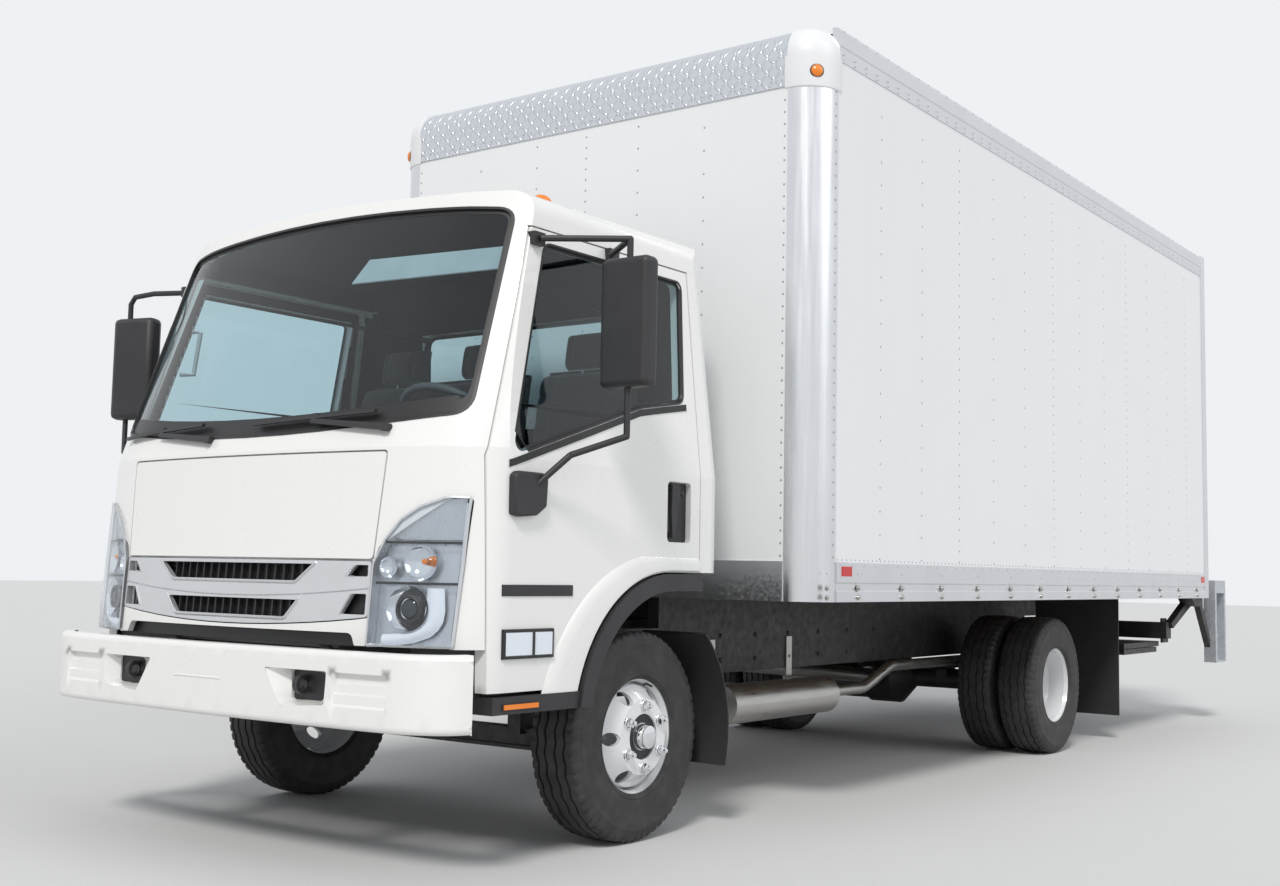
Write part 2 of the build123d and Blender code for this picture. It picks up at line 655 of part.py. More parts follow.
def cab_envelope(inset):
    """Closed outer form of the cab, offset inwards by inset."""
    low, high = ENVELOPE_LOW_Z, ENVELOPE_TOP_Z
    top, half, roof = CAB_TOP_Z - inset, CAB_HALF_W - inset, ROOF_HALF_W - inset
    section = [(-half, low), (half, low), (half, BELT_Z), (roof, top - ROOF_DROP), (0, top),
               (-roof, top - ROOF_DROP), (-half, BELT_Z)]
    tube = front_plate(section, -1500, 900)
    corners = tube.edges().filter_by(Axis.Y).filter_by(
        lambda e: abs(e.center().Z - top + ROOF_DROP) < 1)
    tube = fillet(corners, ROOF_CORNER_R - inset)
    back, radius = CAB_BACK_Y - inset, BACK_CORNER_R - inset
    lean = (half - roof) / (top - ROOF_DROP - BELT_Z)
    lower = extrude(rear_outline(half + 1, back, radius, low), amount=BELT_Z - low, dir=(0, 0, 1))
    upper = loft([rear_outline(half + 1, back, radius, BELT_Z),
                  rear_outline(half + 1 - lean * (high - BELT_Z), back - BACK_LEAN, radius, high)], ruled=True)
    return bowed_form(inset, FRONT_SLOPE) & bowed_form(inset, SCREEN_SLOPE) & tube & (lower + upper)


def half_width(z):
    """Half width of the cab at a height z."""
    if z <= BELT_Z:
        return CAB_HALF_W
    return CAB_HALF_W - (CAB_HALF_W - ROOF_HALF_W) * (z - BELT_Z) / (CAB_TOP_Z - ROOF_DROP - BELT_Z)


def outline_prism(points, y0, y1, corner):
    """Front outline with rounded corners, as a prism along Y."""
    face = make_face(front_plane(y0) * Polyline(*points, close=True))
    return extrude(fillet(face.vertices(), corner), amount=y1 - y0, dir=(0, 1, 0))


def screen_prism(grow):
    """Windscreen outline with an arched top and bottom edge."""
    low, high = SCREEN_LOW_Z - grow, SCREEN_TOP_Z + grow
    xl, xt = SCREEN_LOW_X + grow, SCREEN_TOP_X + grow
    edges = [
        ThreePointArc((-xl, low), (0, low - SCREEN_LOW_ARCH), (xl, low)), Line((xl, low), (xt, high)),
        ThreePointArc((xt, high), (0, high + SCREEN_TOP_ARCH), (-xt, high)), Line((-xt, high), (-xl, low)),
    ]
    face = make_face(front_plane(-1500) * Curve(edges))
    return extrude(fillet(face.vertices(), SCREEN_CORNER_R + grow), amount=1300, dir=(0, 1, 0))


def lid_prism(grow):
    xl, xt = LID_LOW_X + grow, LID_TOP_X + grow
    points = [(-xl, LID_LOW_Z - grow), (xl, LID_LOW_Z - grow), (xt, LID_TOP_Z + grow), (-xt, LID_TOP_Z + grow)]
    return outline_prism(points, -1500, -900, 14)


def grille_prism(grow):
    x = GRILLE_HALF_W + grow
    return outline_prism([(-x, NOSE_LOW_Z - 1 - grow), (x, NOSE_LOW_Z - 1 - grow), (x, GRILLE_TOP_Z + grow),
                          (-x, GRILLE_TOP_Z + grow)], -1500, -900, 10)


def lamp_prism(grow, back):
    inner = LAMP_IN_X - grow
    points = [(inner, NOSE_LOW_Z - grow), (LAMP_LOW_X + grow, NOSE_LOW_Z - grow), (LAMP_TOP_X + grow, LAMP_TOP_Z + grow),
              (LAMP_TOP_X - 55, LAMP_TOP_Z + grow), (inner + 18, LAMP_MID_Z + grow), (inner, LAMP_MID_Z - 50)]
    return outline_prism(points, -1500, back, 16)


def door_region(grow, x0=0, x1=1500):
    """Outline of the left door in the side view, grown by the shut gap."""
    front, rear, top, low = DOOR_FRONT_Y - grow, DOOR_REAR_Y + grow, DOOR_TOP_Z + grow, CAB_LOW_Z - grow
    lean = (DOOR_TOP_FRONT_Y - DOOR_FRONT_Y) / (DOOR_TOP_Z - BELT_Z)
    points = [(front, low), (rear, low), (rear, top), (DOOR_TOP_FRONT_Y + lean * grow - grow, top), (front, BELT_Z)]
    face = make_face(side_plane(x0) * Polyline(*points, close=True))
    region = extrude(face, amount=x1 - x0, dir=(1, 0, 0))
    arch_z = CAB_SIDE_LOW_Z - ARCH_R
    region -= rod("x", ARCH_R - grow, x0 - 1, x1 + 1, (ARCH_Y, arch_z))
    return region - box(x0 - 1, x1 + 1, ARCH_Y, rear + 50, low - 1, CAB_SIDE_LOW_Z - grow)


def window_prism(grow):
    points = [(WINDOW_FRONT_Y - grow, WINDOW_LOW_Z - grow), (WINDOW_KINK_Y, WINDOW_KINK_Z - grow),
              (WINDOW_REAR_Y + grow, WINDOW_REAR_Z - grow), (WINDOW_REAR_Y + 40 + grow, WINDOW_TOP_Z + grow),
              (WINDOW_TOP_FRONT_Y - grow, WINDOW_TOP_Z + grow)]
    face = make_face(side_plane(700) * Polyline(*points, close=True))
    return extrude(fillet(face.vertices(), 32), amount=500, dir=(1, 0, 0))


def rear_window_prism(grow):
    x, low, top = REAR_WINDOW_HALF_W + grow, REAR_WINDOW_LOW_Z - grow, REAR_WINDOW_TOP_Z + grow
    return outline_prism([(-x, low), (x, low), (x, top), (-x, top)], 200, 700, 60)


def cab_forms():
    """The nested envelopes that the cab's pieces share."""
    return {"out": cab_envelope(0), "in": cab_envelope(WALL), "seat": cab_envelope(WALL + SEAT),
            "clear": cab_envelope(WALL + SHUT_GAP), "over": cab_envelope(-SEAT),
            "glass_out": cab_envelope(GLASS_INSET), "glass_in": cab_envelope(GLASS_INSET + GLASS)}


def cab_front(forms):
    shell = forms["out"] - forms["in"]
    region = box(-1500, 1500, -1500, DOOR_REAR_Y - 100, NOSE_LOW_Z, ROOF_SPLIT_Z)
    doorway = door_region(SHUT_GAP)
    rear_part = side_plate([(DOOR_FRONT_Y - SHUT_GAP, 500), (DOOR_FRONT_Y - SHUT_GAP, BELT_Z),
                            (DOOR_TOP_FRONT_Y - SHUT_GAP, DOOR_TOP_Z), (DOOR_TOP_FRONT_Y - SHUT_GAP, 2500), (900, 2500),
                            (900, 500)], -1500, 1500)
    skin = (shell & region) - rear_part - doorway - right(doorway)
    skin -= screen_prism(0) + (lid_prism(SHUT_GAP) - cab_envelope(LID_THICK + SEAT)) + lid_prism(-FRAME_LEDGE)
    skin -= (grille_prism(GRILLE_GAP) - cab_envelope(GRILLE_THICK + SEAT)) + grille_prism(-FRAME_LEDGE)
    lamp = lamp_prism(SEAT, DOOR_FRONT_Y + 40)
    skin -= lamp + right(lamp)
    bulkhead = box(-1200, 1200, BULKHEAD_Y - 10, BULKHEAD_Y, FLOOR_Z + SEAT, SHELF_Z)
    bulkhead += box(-1200, 1200, -1500, BULKHEAD_Y, SHELF_Z - 12, SHELF_Z)
    return skin + (bulkhead & forms["in"])


def front_cover(forms):
    shell = forms["out"] - cab_envelope(LID_THICK)
    return shell & lid_prism(0)


def grille(forms):
    face = (forms["out"] - cab_envelope(GRILLE_THICK)) & grille_prism(0)
    for z0, z1, x0, x1 in GRILLE_SLOTS:
        slot = outline_prism([(x0, z0), (x1, z0), (x1, z1), (x0, z1)], -1500, -900, 6)
        face -= slot
        if x0 > 0:
            face -= right(slot)
    return face


def headlamps(forms):
    lamp = (cab_envelope(-LAMP_PROUD) - cab_envelope(LAMP_DEPTH)) & lamp_prism(0, DOOR_FRONT_Y - SHUT_GAP - 6)
    return both(lamp)


def cab_roof(forms):
    shell = forms["out"] - forms["in"]
    return (shell & box(-1500, 1500, -1500, 900, ROOF_SPLIT_Z + SEAT, 2600)) - screen_prism(0)


def cab_back(forms):
    shell = forms["out"] - forms["in"]
    back = shell & box(-1500, 1500, DOOR_REAR_Y + SHUT_GAP, 900, CAB_SIDE_LOW_Z, ROOF_SPLIT_Z)
    back -= box(-ENGINE_HALF_W - 60, ENGINE_HALF_W + 60, 300, 600, 900, PLATFORM_Z - FLOOR_THICK)
    return back - rear_window_prism(0)


def cab_glass(forms):
    sheet = forms["glass_out"] - forms["glass_in"]
    bowed = bowed_form(GLASS_INSET, SCREEN_SLOPE) - bowed_form(GLASS_INSET + GLASS, SCREEN_SLOPE)
    return group([bowed & screen_prism(-SEAT), sheet & rear_window_prism(-SEAT)])


def cab_floor(forms):
    half = CAB_HALF_W
    low = FLOOR_Z - FLOOR_THICK
    floor = box(-half, half, -1500, PLATFORM_Y, low, FLOOR_Z)
    floor += box(-half, half, PLATFORM_Y - FLOOR_THICK, PLATFORM_Y, low, PLATFORM_Z)
    floor += box(-half, half, PLATFORM_Y - FLOOR_THICK, CAB_BACK_Y, PLATFORM_Z - FLOOR_THICK, PLATFORM_Z)
    well = box(STEP_IN_X, half, STEP_Y0, STEP_Y1, STEP_Z - STEP_WALL, FLOOR_Z)
    hollow = box(STEP_IN_X + STEP_WALL, half + 1, STEP_Y0 + STEP_WALL, STEP_Y1 - STEP_WALL, STEP_Z, FLOOR_Z + 1)
    floor += well + right(well)
    floor -= hollow + right(hollow)
    arch_z = CAB_SIDE_LOW_Z - ARCH_R
    house = box(HOUSE_X, HOUSE_X + 25, STEP_Y1 - STEP_WALL, CAB_BACK_Y, CAB_LOW_Z, PLATFORM_Z)
    house -= rod("x", ARCH_R - FLARE_W + 30, HOUSE_X - 1, HOUSE_X + 26, (ARCH_Y, arch_z))
    house -= box(HOUSE_X - 1, HOUSE_X + 26, ARCH_Y, CAB_BACK_Y + 1, 0, CAB_SIDE_LOW_Z - FLARE_W + 30)
    floor += house + right(house)
    door_zone = box(-1500, 1500, DOOR_FRONT_Y - 40, DOOR_REAR_Y + 20, 0, 3000)
    floor = (floor & forms["seat"]) - door_zone + ((floor & forms["clear"]) & door_zone)
    floor += rod("x", TILT_SHAFT_R, -RAIL_OUT_X, RAIL_OUT_X, (TILT_Y, TILT_Z))
    for x in (-300, 300):
        floor += box(x - 20, x + 20, TILT_Y - 22, TILT_Y + 22, TILT_Z, low + 1)
    return floor


def arch_flares(forms):
    arch_z = CAB_SIDE_LOW_Z - ARCH_R
    outer, inner = ARCH_R - SHUT_GAP, ARCH_R - FLARE_W
    band = Circle(outer) - Circle(inner)
    flare = extrude(side_plane(HOUSE_X + 25) * Pos(ARCH_Y, arch_z) * band, amount=CAB_HALF_W + FLARE_PROUD - HOUSE_X - 25,
                    dir=(1, 0, 0))
    flare &= box(0, 1500, -600, ARCH_Y, SILL_LOW_Z, 1000)
    flare += box(HOUSE_X + 25, CAB_HALF_W + FLARE_PROUD, ARCH_Y - 1, DOOR_REAR_Y, CAB_SIDE_LOW_Z - FLARE_W,
                 CAB_SIDE_LOW_Z - SHUT_GAP)
    sill = box(STEP_IN_X + 200, CAB_HALF_W + 12, STEP_Y0 - 20, STEP_Y1 + 12, SILL_LOW_Z, CAB_LOW_Z - SHUT_GAP - 6)
    sill += box(STEP_IN_X + 200, CAB_HALF_W - WALL - SHUT_GAP, STEP_Y0, STEP_Y1 - STEP_WALL, CAB_LOW_Z - 20,
                STEP_Z - STEP_WALL)
    piece = flare + sill
    return both(piece)


def door(forms):
    panel = (forms["out"] - forms["in"]) & door_region(0)
    panel -= window_prism(0)
    panel &= flat_plate([(700, -1500), (1100, -1500), (1100, DOOR_REAR_Y), (1005, DOOR_REAR_Y), (860, DOOR_REAR_Y - 6)],
                        0, 3000)
    recess = box(CAB_HALF_W - HANDLE_DEPTH, CAB_HALF_W + 5, HANDLE_Y0, HANDLE_Y1, HANDLE_Z0, HANDLE_Z1)
    return panel - fillet(recess.edges().filter_by(Axis.X), 18)


def door_glass(forms):
    return (forms["glass_out"] - forms["glass_in"]) & door_region(0) & window_prism(-SEAT)


def mirror_arms(forms):
    head = box(MIRROR_X0, MIRROR_X1, MIRROR_Y0, MIRROR_Y0 + MIRROR_D, MIRROR_Z0, MIRROR_Z1)
    head = fillet(head.edges(), 24)
    mid_x, mid_y = (MIRROR_X0 + MIRROR_X1) / 2, MIRROR_Y0 + MIRROR_D / 2
    routes = [
        [(960, -650, 2085), (mid_x, mid_y, 2085), (930, -235, 2105)],
        [(1000, -745, 1215), (1100, -640, 1350), (mid_x, mid_y, 1420), (mid_x, mid_y, MIRROR_Z0 + 20)],
        [(mid_x, mid_y, 2085), (mid_x, mid_y, MIRROR_Z1 - 20)],
    ]
    piece = head
    for route in routes:
        for start, end in zip(route, route[1:]):
            a, b = Vector(*start), Vector(*end)
            piece += Plane(origin=a, z_dir=(b - a)) * Pos(0, 0, (b - a).length / 2) * Cylinder(MIRROR_TUBE_R, (b - a).length)
            piece += Pos(*end) * Sphere(MIRROR_TUBE_R) if end != route[-1] else Pos(*end) * Sphere(1)
    for y, z in ((-650, 2085), (-235, 2105), (-745, 1215)):
        x = half_width(z)
        piece += box(x - 12, x + 22, y - 28, y + 28, z - 22, z + 22)
    return piece - forms["over"]


def wipers(forms):
    layer = cab_envelope(-WIPER_OUT) - cab_envelope(-WIPER_IN)
    posts = cab_envelope(-WIPER_OUT) - forms["over"]
    pieces = []
    for x, z in WIPER_PIVOTS:
        strip = front_plate([(x + 14, z - 12), (x + 14, z + 12), (x - WIPER_ARM, z + 42), (x - WIPER_ARM, z + 26)], -1500, -700)
        blade = front_plate([(x - 60, z + 52), (x - 60, z + 64), (x - WIPER_BLADE - 60, z + 40),
                             (x - WIPER_BLADE - 60, z + 28)], -1500, -700)
        link = front_plate([(x - WIPER_ARM + 20, z + 26), (x - WIPER_ARM + 20, z + 60), (x - WIPER_ARM, z + 60),
                            (x - WIPER_ARM, z + 26)], -1500, -700)
        post = Pos(x, -1000, z) * Rot(90, 0, 0) * Cylinder(13, 900)
        pieces.append(((strip + blade + link) & layer) + (post & posts))
    return group(pieces)


def dashboard(forms):
    points = [(BULKHEAD_Y + SEAT, 1130), (BULKHEAD_Y + SEAT, 1385), (-720, 1400), (-670, 1330), (-700, 1240), (-790, 1130)]
    return side_plate(points, -DASH_HALF_W, DASH_HALF_W) & cab_envelope(WALL + SHUT_GAP + 2)


def steering_wheel(dash):
    wheel = Torus(WHEEL_RING_R, 14) + Cylinder(50, 40)
    for k in range(3):
        wheel += Rot(0, 0, 90 + 120 * k) * Pos(WHEEL_RING_R / 2, 0, 0) * Box(WHEEL_RING_R, 26, 14)
    wheel += Pos(0, 0, -200) * Cylinder(32, 400)
    placed = Pos(WHEEL_X, WHEEL_Y, WHEEL_Z) * Rot(WHEEL_TILT, 0, 0) * wheel
    return max((placed - dash - box(-1500, 1500, -1500, BULKHEAD_Y + 40, 0, 3000)).solids(), key=lambda s: s.volume)


def seats():
    base = PLATFORM_Z + SEAT
    side = [(-240, base), (260, base), (300, 1420), (340, 1930), (262, 1940), (170, 1360), (-240, 1330)]
    driver = side_plate(side, 190, 690)
    bench = side_plate(side, -880, 110)
    return group([driver, bench])


def cab_lamps(forms):
    domes = []
    for x, y, r in ((750, -411, 42), (320, -684, 20)):
        dome = rod("z", r, CAB_TOP_Z - 60, CAB_TOP_Z + r * 0.9 - 12, (x, y))
        domes += [dome - forms["over"], right(dome) - forms["over"]]
    middle = rod("z", 20, CAB_TOP_Z - 60, CAB_TOP_Z + 8, (0, -700)) - forms["over"]
    return group(domes + [middle])


# Van body

def corner_cut(z0, z1):
    """What lies outside the inner face of a front corner post."""
    x, y = BOX_HALF_W - POST_R, BOX_FRONT_Y + POST_R
    cut = box(x, x + POST_R + 50, y - POST_R - 50, y, z0, z1)
    cut -= rod("z", POST_R - BOX_WALL - SEAT, z0 - 1, z1 + 1, (x, y))
    return cut + right(cut)


def box_subframe():
    sill = box(RAIL_OUT_X - 60, RAIL_OUT_X, BOX_FRONT_Y + 40, BOX_REAR_Y - REAR_FRAME_D, RAIL_TOP_Z, BOX_LOW_Z)
    frame = sill + right(sill)
    for y in BODY_CROSS_Y:
        frame += box(-SIDE_IN_X, SIDE_IN_X, y - 22, y + 22, BOX_LOW_Z, BOX_LOW_Z + CROSS_H)
    return frame - corner_cut(BOX_LOW_Z - 10, BOX_LOW_Z + CROSS_H + 10)


def box_floor():
    z = BOX_LOW_Z + CROSS_H
    slab = box(-SIDE_IN_X, SIDE_IN_X, BOX_FRONT_Y + BOX_WALL, BOX_REAR_Y - REAR_FRAME_D, z, z + BODY_FLOOR)
    return slab - corner_cut(z - 10, z + BODY_FLOOR + 10)


def rail_section(z0, z1, lip):
    """Extruded edge rail: a skin with two proud ribs, in (x, z)."""
    out = BOX_HALF_W
    return [(SIDE_IN_X, z0), (out + lip, z0), (out + lip, z0 + 42), (out + 2, z0 + 48), (out + 2, z0 + 74),
            (out + lip, z0 + 80), (out + lip, z1), (SIDE_IN_X, z1)]


def box_rails():
    low0, low1 = BOX_LOW_Z, BOX_LOW_Z + BOX_RAIL_H
    top0, top1 = BOX_TOP_Z - TOP_RAIL_H, BOX_TOP_Z
    y0, y1 = BOX_FRONT_Y + POST_R, BOX_REAR_Y - REAR_FRAME_D
    bottom = front_plate(rail_section(low0, low1, RAIL_LIP), y0, y1)
    out = BOX_HALF_W + RAIL_LIP
    top = front_plate([(SIDE_IN_X, top0), (out - 3, top0), (out - 3, top0 + 60), (out, top0 + 66), (out, top1 - 26),
                       (out - 8, top1 - 8), (out - 26, top1), (SIDE_IN_X, top1)], y0, y1)
    front = box(-BOX_HALF_W + POST_R, BOX_HALF_W - POST_R, BOX_FRONT_Y - RAIL_LIP, BOX_FRONT_Y + BOX_WALL, low0, low1)
    return group([both(bottom), both(top), front])


def box_side_wall():
    return box(SIDE_IN_X, BOX_HALF_W, BOX_FRONT_Y + POST_R, BOX_REAR_Y - REAR_FRAME_D,
               BOX_LOW_Z + BOX_RAIL_H, BOX_TOP_Z - TOP_RAIL_H)


def box_front_wall():
    return box(-BOX_HALF_W + POST_R, BOX_HALF_W - POST_R, BOX_FRONT_Y, BOX_FRONT_Y + BOX_WALL,
               BOX_LOW_Z + BOX_RAIL_H, NOSE_Z)


def corner_solid(z0, z1):
    x, y = BOX_HALF_W - POST_R, BOX_FRONT_Y + POST_R
    post = rod("z", POST_R, z0, z1, (x, y)) - rod("z", POST_R - BOX_WALL, z0 - 1, z1 + 1, (x, y))
    return post & box(x, x + POST_R + 1, y - POST_R - 1, y, z0 - 1, z1 + 1)


def box_corner_posts():
    return both(corner_solid(BOX_LOW_Z, CAP_Z))


def box_corner_caps():
    """Cast corners: a quarter ring that closes up to the roof, with a brow."""
    x, y = BOX_HALF_W - POST_R, BOX_FRONT_Y + POST_R
    height = BOX_TOP_Z - CAP_Z
    outer = POST_R + RAIL_LIP
    profile = [Line((0, 0), (outer, 0)), Line((outer, 0), (outer, 20)),
               ThreePointArc((outer, 20), (outer - 0.3 * (height - 20), 20 + 0.72 * (height - 20)), (outer - (height - 20), height)),
               Line((outer - (height - 20), height), (0, height)), Line((0, height), (0, 0))]
    face = make_face(Plane(origin=(x, y, CAP_Z), x_dir=(1, 0, 0), z_dir=(0, -1, 0)) * Curve(profile))
    cap = revolve(face, axis=Axis((x, y, 0), (0, 0, 1)))
    cap &= box(x, x + outer + 1, y - outer - 1, y, CAP_Z - 1, BOX_TOP_Z + 1)
    return both(cap)


def box_nose():
    """Tread plate nose over the front wall, rounded into the roof."""
    x = BOX_HALF_W - POST_R
    front, top = BOX_FRONT_Y - RAIL_LIP, BOX_TOP_Z
    back = BOX_FRONT_Y + POST_R
    k = NOSE_R * (1 - cos(radians(45)))
    inner = NOSE_R - NOSE_SKIN
    ki = inner * (1 - cos(radians(45)))
    fi, ti = front + NOSE_SKIN, top - NOSE_SKIN
    edges = [
        Line((front, NOSE_Z), (front, top - NOSE_R)),
        ThreePointArc((front, top - NOSE_R), (front + k, top - k), (front + NOSE_R, top)),
        Line((front + NOSE_R, top), (back, top)), Line((back, top), (back, ti)), Line((back, ti), (fi + inner, ti)),
        ThreePointArc((fi + inner, ti), (fi + ki, ti - ki), (fi, ti - inner)),
        Line((fi, ti - inner), (fi, NOSE_Z)), Line((fi, NOSE_Z), (front, NOSE_Z)),
    ]
    return extrude(make_face(side_plane(-x) * Curve(edges)), amount=2 * x, dir=(1, 0, 0))


def box_roof():
    return box(-SIDE_IN_X, SIDE_IN_X, BOX_FRONT_Y + POST_R, BOX_REAR_Y - REAR_FRAME_D, BOX_TOP_Z - 26, BOX_TOP_Z - 4)


def box_rear_frame():
    y0, y1 = BOX_REAR_Y - REAR_FRAME_D, BOX_REAR_Y
    out = BOX_HALF_W + RAIL_LIP
    frame = box(-out, out, y0, y1, BOX_LOW_Z, BOX_TOP_Z)
    return frame - box(-DOORWAY_X, DOORWAY_X, y0 - 1, y1 + 1, BOX_LOW_Z + CROSS_H + BODY_FLOOR, DOORWAY_TOP_Z)


def roll_up_door():
    low, high = BOX_LOW_Z + CROSS_H + BODY_FLOOR + SEAT, DOORWAY_TOP_Z - SEAT
    y = BOX_REAR_Y - 40
    panel = box(-DOORWAY_X + SEAT, DOORWAY_X - SEAT, y, y + 22, low, high)
    pitch = (high - low) / ROLL_SLATS
    for k in range(1, ROLL_SLATS):
        z = low + k * pitch
        panel -= box(-DOORWAY_X - 1, DOORWAY_X + 1, y + 16, y + 23, z - 3, z + 3)
    return panel


def box_lamps():
    front = BOX_FRONT_Y - RAIL_LIP
    lamps = []
    for x in (-400, 0, 400):
        lamps.append(rod("y", 24, front - 16, front, (x, BOX_TOP_Z - NOSE_R - 40)))
    for x in (-1, 1):
        for z, radius in ((BOX_LOW_Z + 230, 27), (BOX_LOW_Z + 310, 27), (BOX_TOP_Z - 70, 24)):
            lamps.append(rod("y", radius, BOX_REAR_Y, BOX_REAR_Y + 14, (x * (DOORWAY_X + 33), z)))
    for x in (-300, 0, 300):
        lamps.append(rod("y", 24, BOX_REAR_Y, BOX_REAR_Y + 14, (x, BOX_TOP_Z - 70)))
    return group(lamps)


# Lift

def lift_frame():
    """Deck behind the body with a dock post at each end."""
    outer, inner = BOX_HALF_W, BOX_HALF_W - LIFT_POST_W
    y0, y1 = DECK_END_Y - LIFT_POST_D, DECK_END_Y
    post = box(inner, outer, y0, y1, LIFT_POST_LOW_Z, LIFT_TOP_Z)
    post -= box(inner + 8, outer + 1, y0 + 40, y1 - 30, LIFT_POST_LOW_Z + 12, LIFT_TOP_Z - 90)
    for z in POST_HOLE_Z:
        post -= rod("x", 16, inner - 1, outer, ((y0 + y1) / 2, z))
    deck_z = LIFT_TOP_Z - 10
    frame = box(-inner - 1, inner + 1, BOX_REAR_Y, y1, deck_z - 12, deck_z)
    frame += box(-inner - 1, inner + 1, y1 - 12, y1, deck_z - 70, deck_z)
    frame += box(-inner - 1, inner + 1, BOX_REAR_Y, BOX_REAR_Y + 12, deck_z - 70, deck_z)
    return frame + post + right(post)


def lift_gear():
    """Folded platform and its cross beam below the tail, with links and braces."""
    outer = BOX_HALF_W
    post_y = DECK_END_Y - LIFT_POST_D
    beam = box(-LIFT_LINK_X, LIFT_LINK_X, LIFT_BEAM_Y0, LIFT_BEAM_Y1, LIFT_BEAM_Z0, LIFT_BEAM_Z1)
    low = FOLD_TOP_Z - 2 * FOLD_THICK - 4
    beam += box(-FOLD_HALF_W, FOLD_HALF_W, FOLD_Y0, LIFT_BEAM_Y1 - 40, FOLD_TOP_Z - FOLD_THICK, FOLD_TOP_Z)
    beam += box(-FOLD_HALF_W, FOLD_HALF_W, FOLD_Y0, LIFT_BEAM_Y1 - 90, low, low + FOLD_THICK)
    beam += box(-FOLD_HALF_W, FOLD_HALF_W, FOLD_Y0, FOLD_Y0 + 20, low, FOLD_TOP_Z)
    side = box(FOLD_ARM_X - 25, FOLD_ARM_X + 25, LIFT_BEAM_Y0 - 350, LIFT_BEAM_Y1 - 50, FOLD_TOP_Z - 5, LIFT_BEAM_Z0 + 40)
    side += box(RAIL_OUT_X - 50, RAIL_OUT_X - 10, LIFT_BEAM_Y0, LIFT_BEAM_Y1, LIFT_BEAM_Z1 - 5, RAIL_TOP_Z)
    side += side_plate([(LIFT_BEAM_Y0, LIFT_BEAM_Z0 - 27), (LIFT_BEAM_Y1 + 20, LIFT_BEAM_Z0 - 27),
                        (LIFT_BEAM_Y1 + 20, LIFT_BEAM_Z1), (LIFT_BEAM_Y1 - 20, LIFT_BEAM_Z1 + 27),
                        (LIFT_BEAM_Y0, LIFT_BEAM_Z1 + 27)], LIFT_LINK_X - 40, LIFT_LINK_X - 25)
    side += side_plate([(LIFT_EYE_Y - 22, LIFT_EYE_Z + 8), (LIFT_EYE_Y + 14, LIFT_EYE_Z - 26), (HANGER_Y1 - 50, HANGER_Z + 4),
                        (HANGER_Y1 - 120, HANGER_Z + 40)], LIFT_LINK_X - 26, LIFT_LINK_X + 20)
    side += side_plate([(HANGER_Y0, BOX_LOW_Z), (HANGER_Y1, BOX_LOW_Z), (HANGER_Y1, HANGER_Z), (HANGER_Y0 + 90, HANGER_Z)],
                       LIFT_LINK_X - 10, SIDE_IN_X - 3)
    side += side_plate([(BRACE_Y - 25, HANGER_Z + 20), (BRACE_Y + 45, HANGER_Z + 20), (post_y, BRACE_LOW_Z + 60),
                        (post_y, BRACE_LOW_Z)], SIDE_IN_X - 45, SIDE_IN_X - 5)
    return beam + side + right(side)


def main():
    forms = cab_forms()
    left_door, left_glass = door(forms), door_glass(forms)
    left_mirror = mirror_arms(forms)
    left_knuckle, left_rim, left_rear = knuckle(), front_rim(), rear_rims()
    left_tyre, left_pair = at_axle(tyre(FRONT_WHEEL_X), 0), rear_tyres()
    dash = dashboard(forms)
    wall = box_side_wall()
    pieces = {
        "frame_rails": frame_rails(), "frame_crossmembers": frame_crossmembers(), "engine_block": engine_block(),
        "front_axle_beam": front_axle_beam(), "rear_axle_housing": rear_axle_housing(), "leaf_springs": leaf_springs(),
        "propshaft": propshaft(), "exhaust": exhaust(), "fuel_tank": fuel_tank(), "front_bumper": front_bumper(),
        "mudguards": mudguards(), "tie_rod": tie_rod(),
        "box_subframe": box_subframe(), "box_floor": box_floor(), "box_rails": box_rails(),
        "box_side_walls": group([wall, right(wall)]), "box_front_wall": box_front_wall(),
        "box_corner_posts": box_corner_posts(), "box_corner_caps": box_corner_caps(), "box_nose": box_nose(),
        "box_roof": box_roof(), "box_rear_frame": box_rear_frame(), "roll_up_door": roll_up_door(),
        "box_lamps": box_lamps(), "lift_frame": lift_frame(), "lift_gear": lift_gear(),
        "cab_floor": cab_floor(forms), "cab_front": cab_front(forms), "cab_roof": cab_roof(forms),
        "cab_back": cab_back(forms), "cab_glass": cab_glass(forms), "front_cover": front_cover(forms),
        "grille": grille(forms), "headlamps": headlamps(forms), "arch_flares": arch_flares(forms),
        "wipers": wipers(forms), "dashboard": dash, "steering_wheel": steering_wheel(dash), "seats": seats(),
        "cab_lamps": cab_lamps(forms),
    }
    sided = {"door": left_door, "door_glass": left_glass, "mirror": left_mirror, "knuckle": left_knuckle,
             "front_rim": left_rim, "front_tyre": left_tyre, "rear_rims": left_rear, "rear_tyres": left_pair}
    for name, shape in sided.items():
        pieces[name + "_left"] = shape
        pieces[name + "_right"] = right(shape)
    for name, shape in pieces.items():
        write(name, shape)


main()
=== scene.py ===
import bmesh
import bpy
import json
from math import asin, atan2, cos, exp, pi, radians, sin, sqrt
from mathutils import Matrix, Vector
from mathutils.bvhtree import BVHTree
from mathutils.geometry import delaunay_2d_cdt


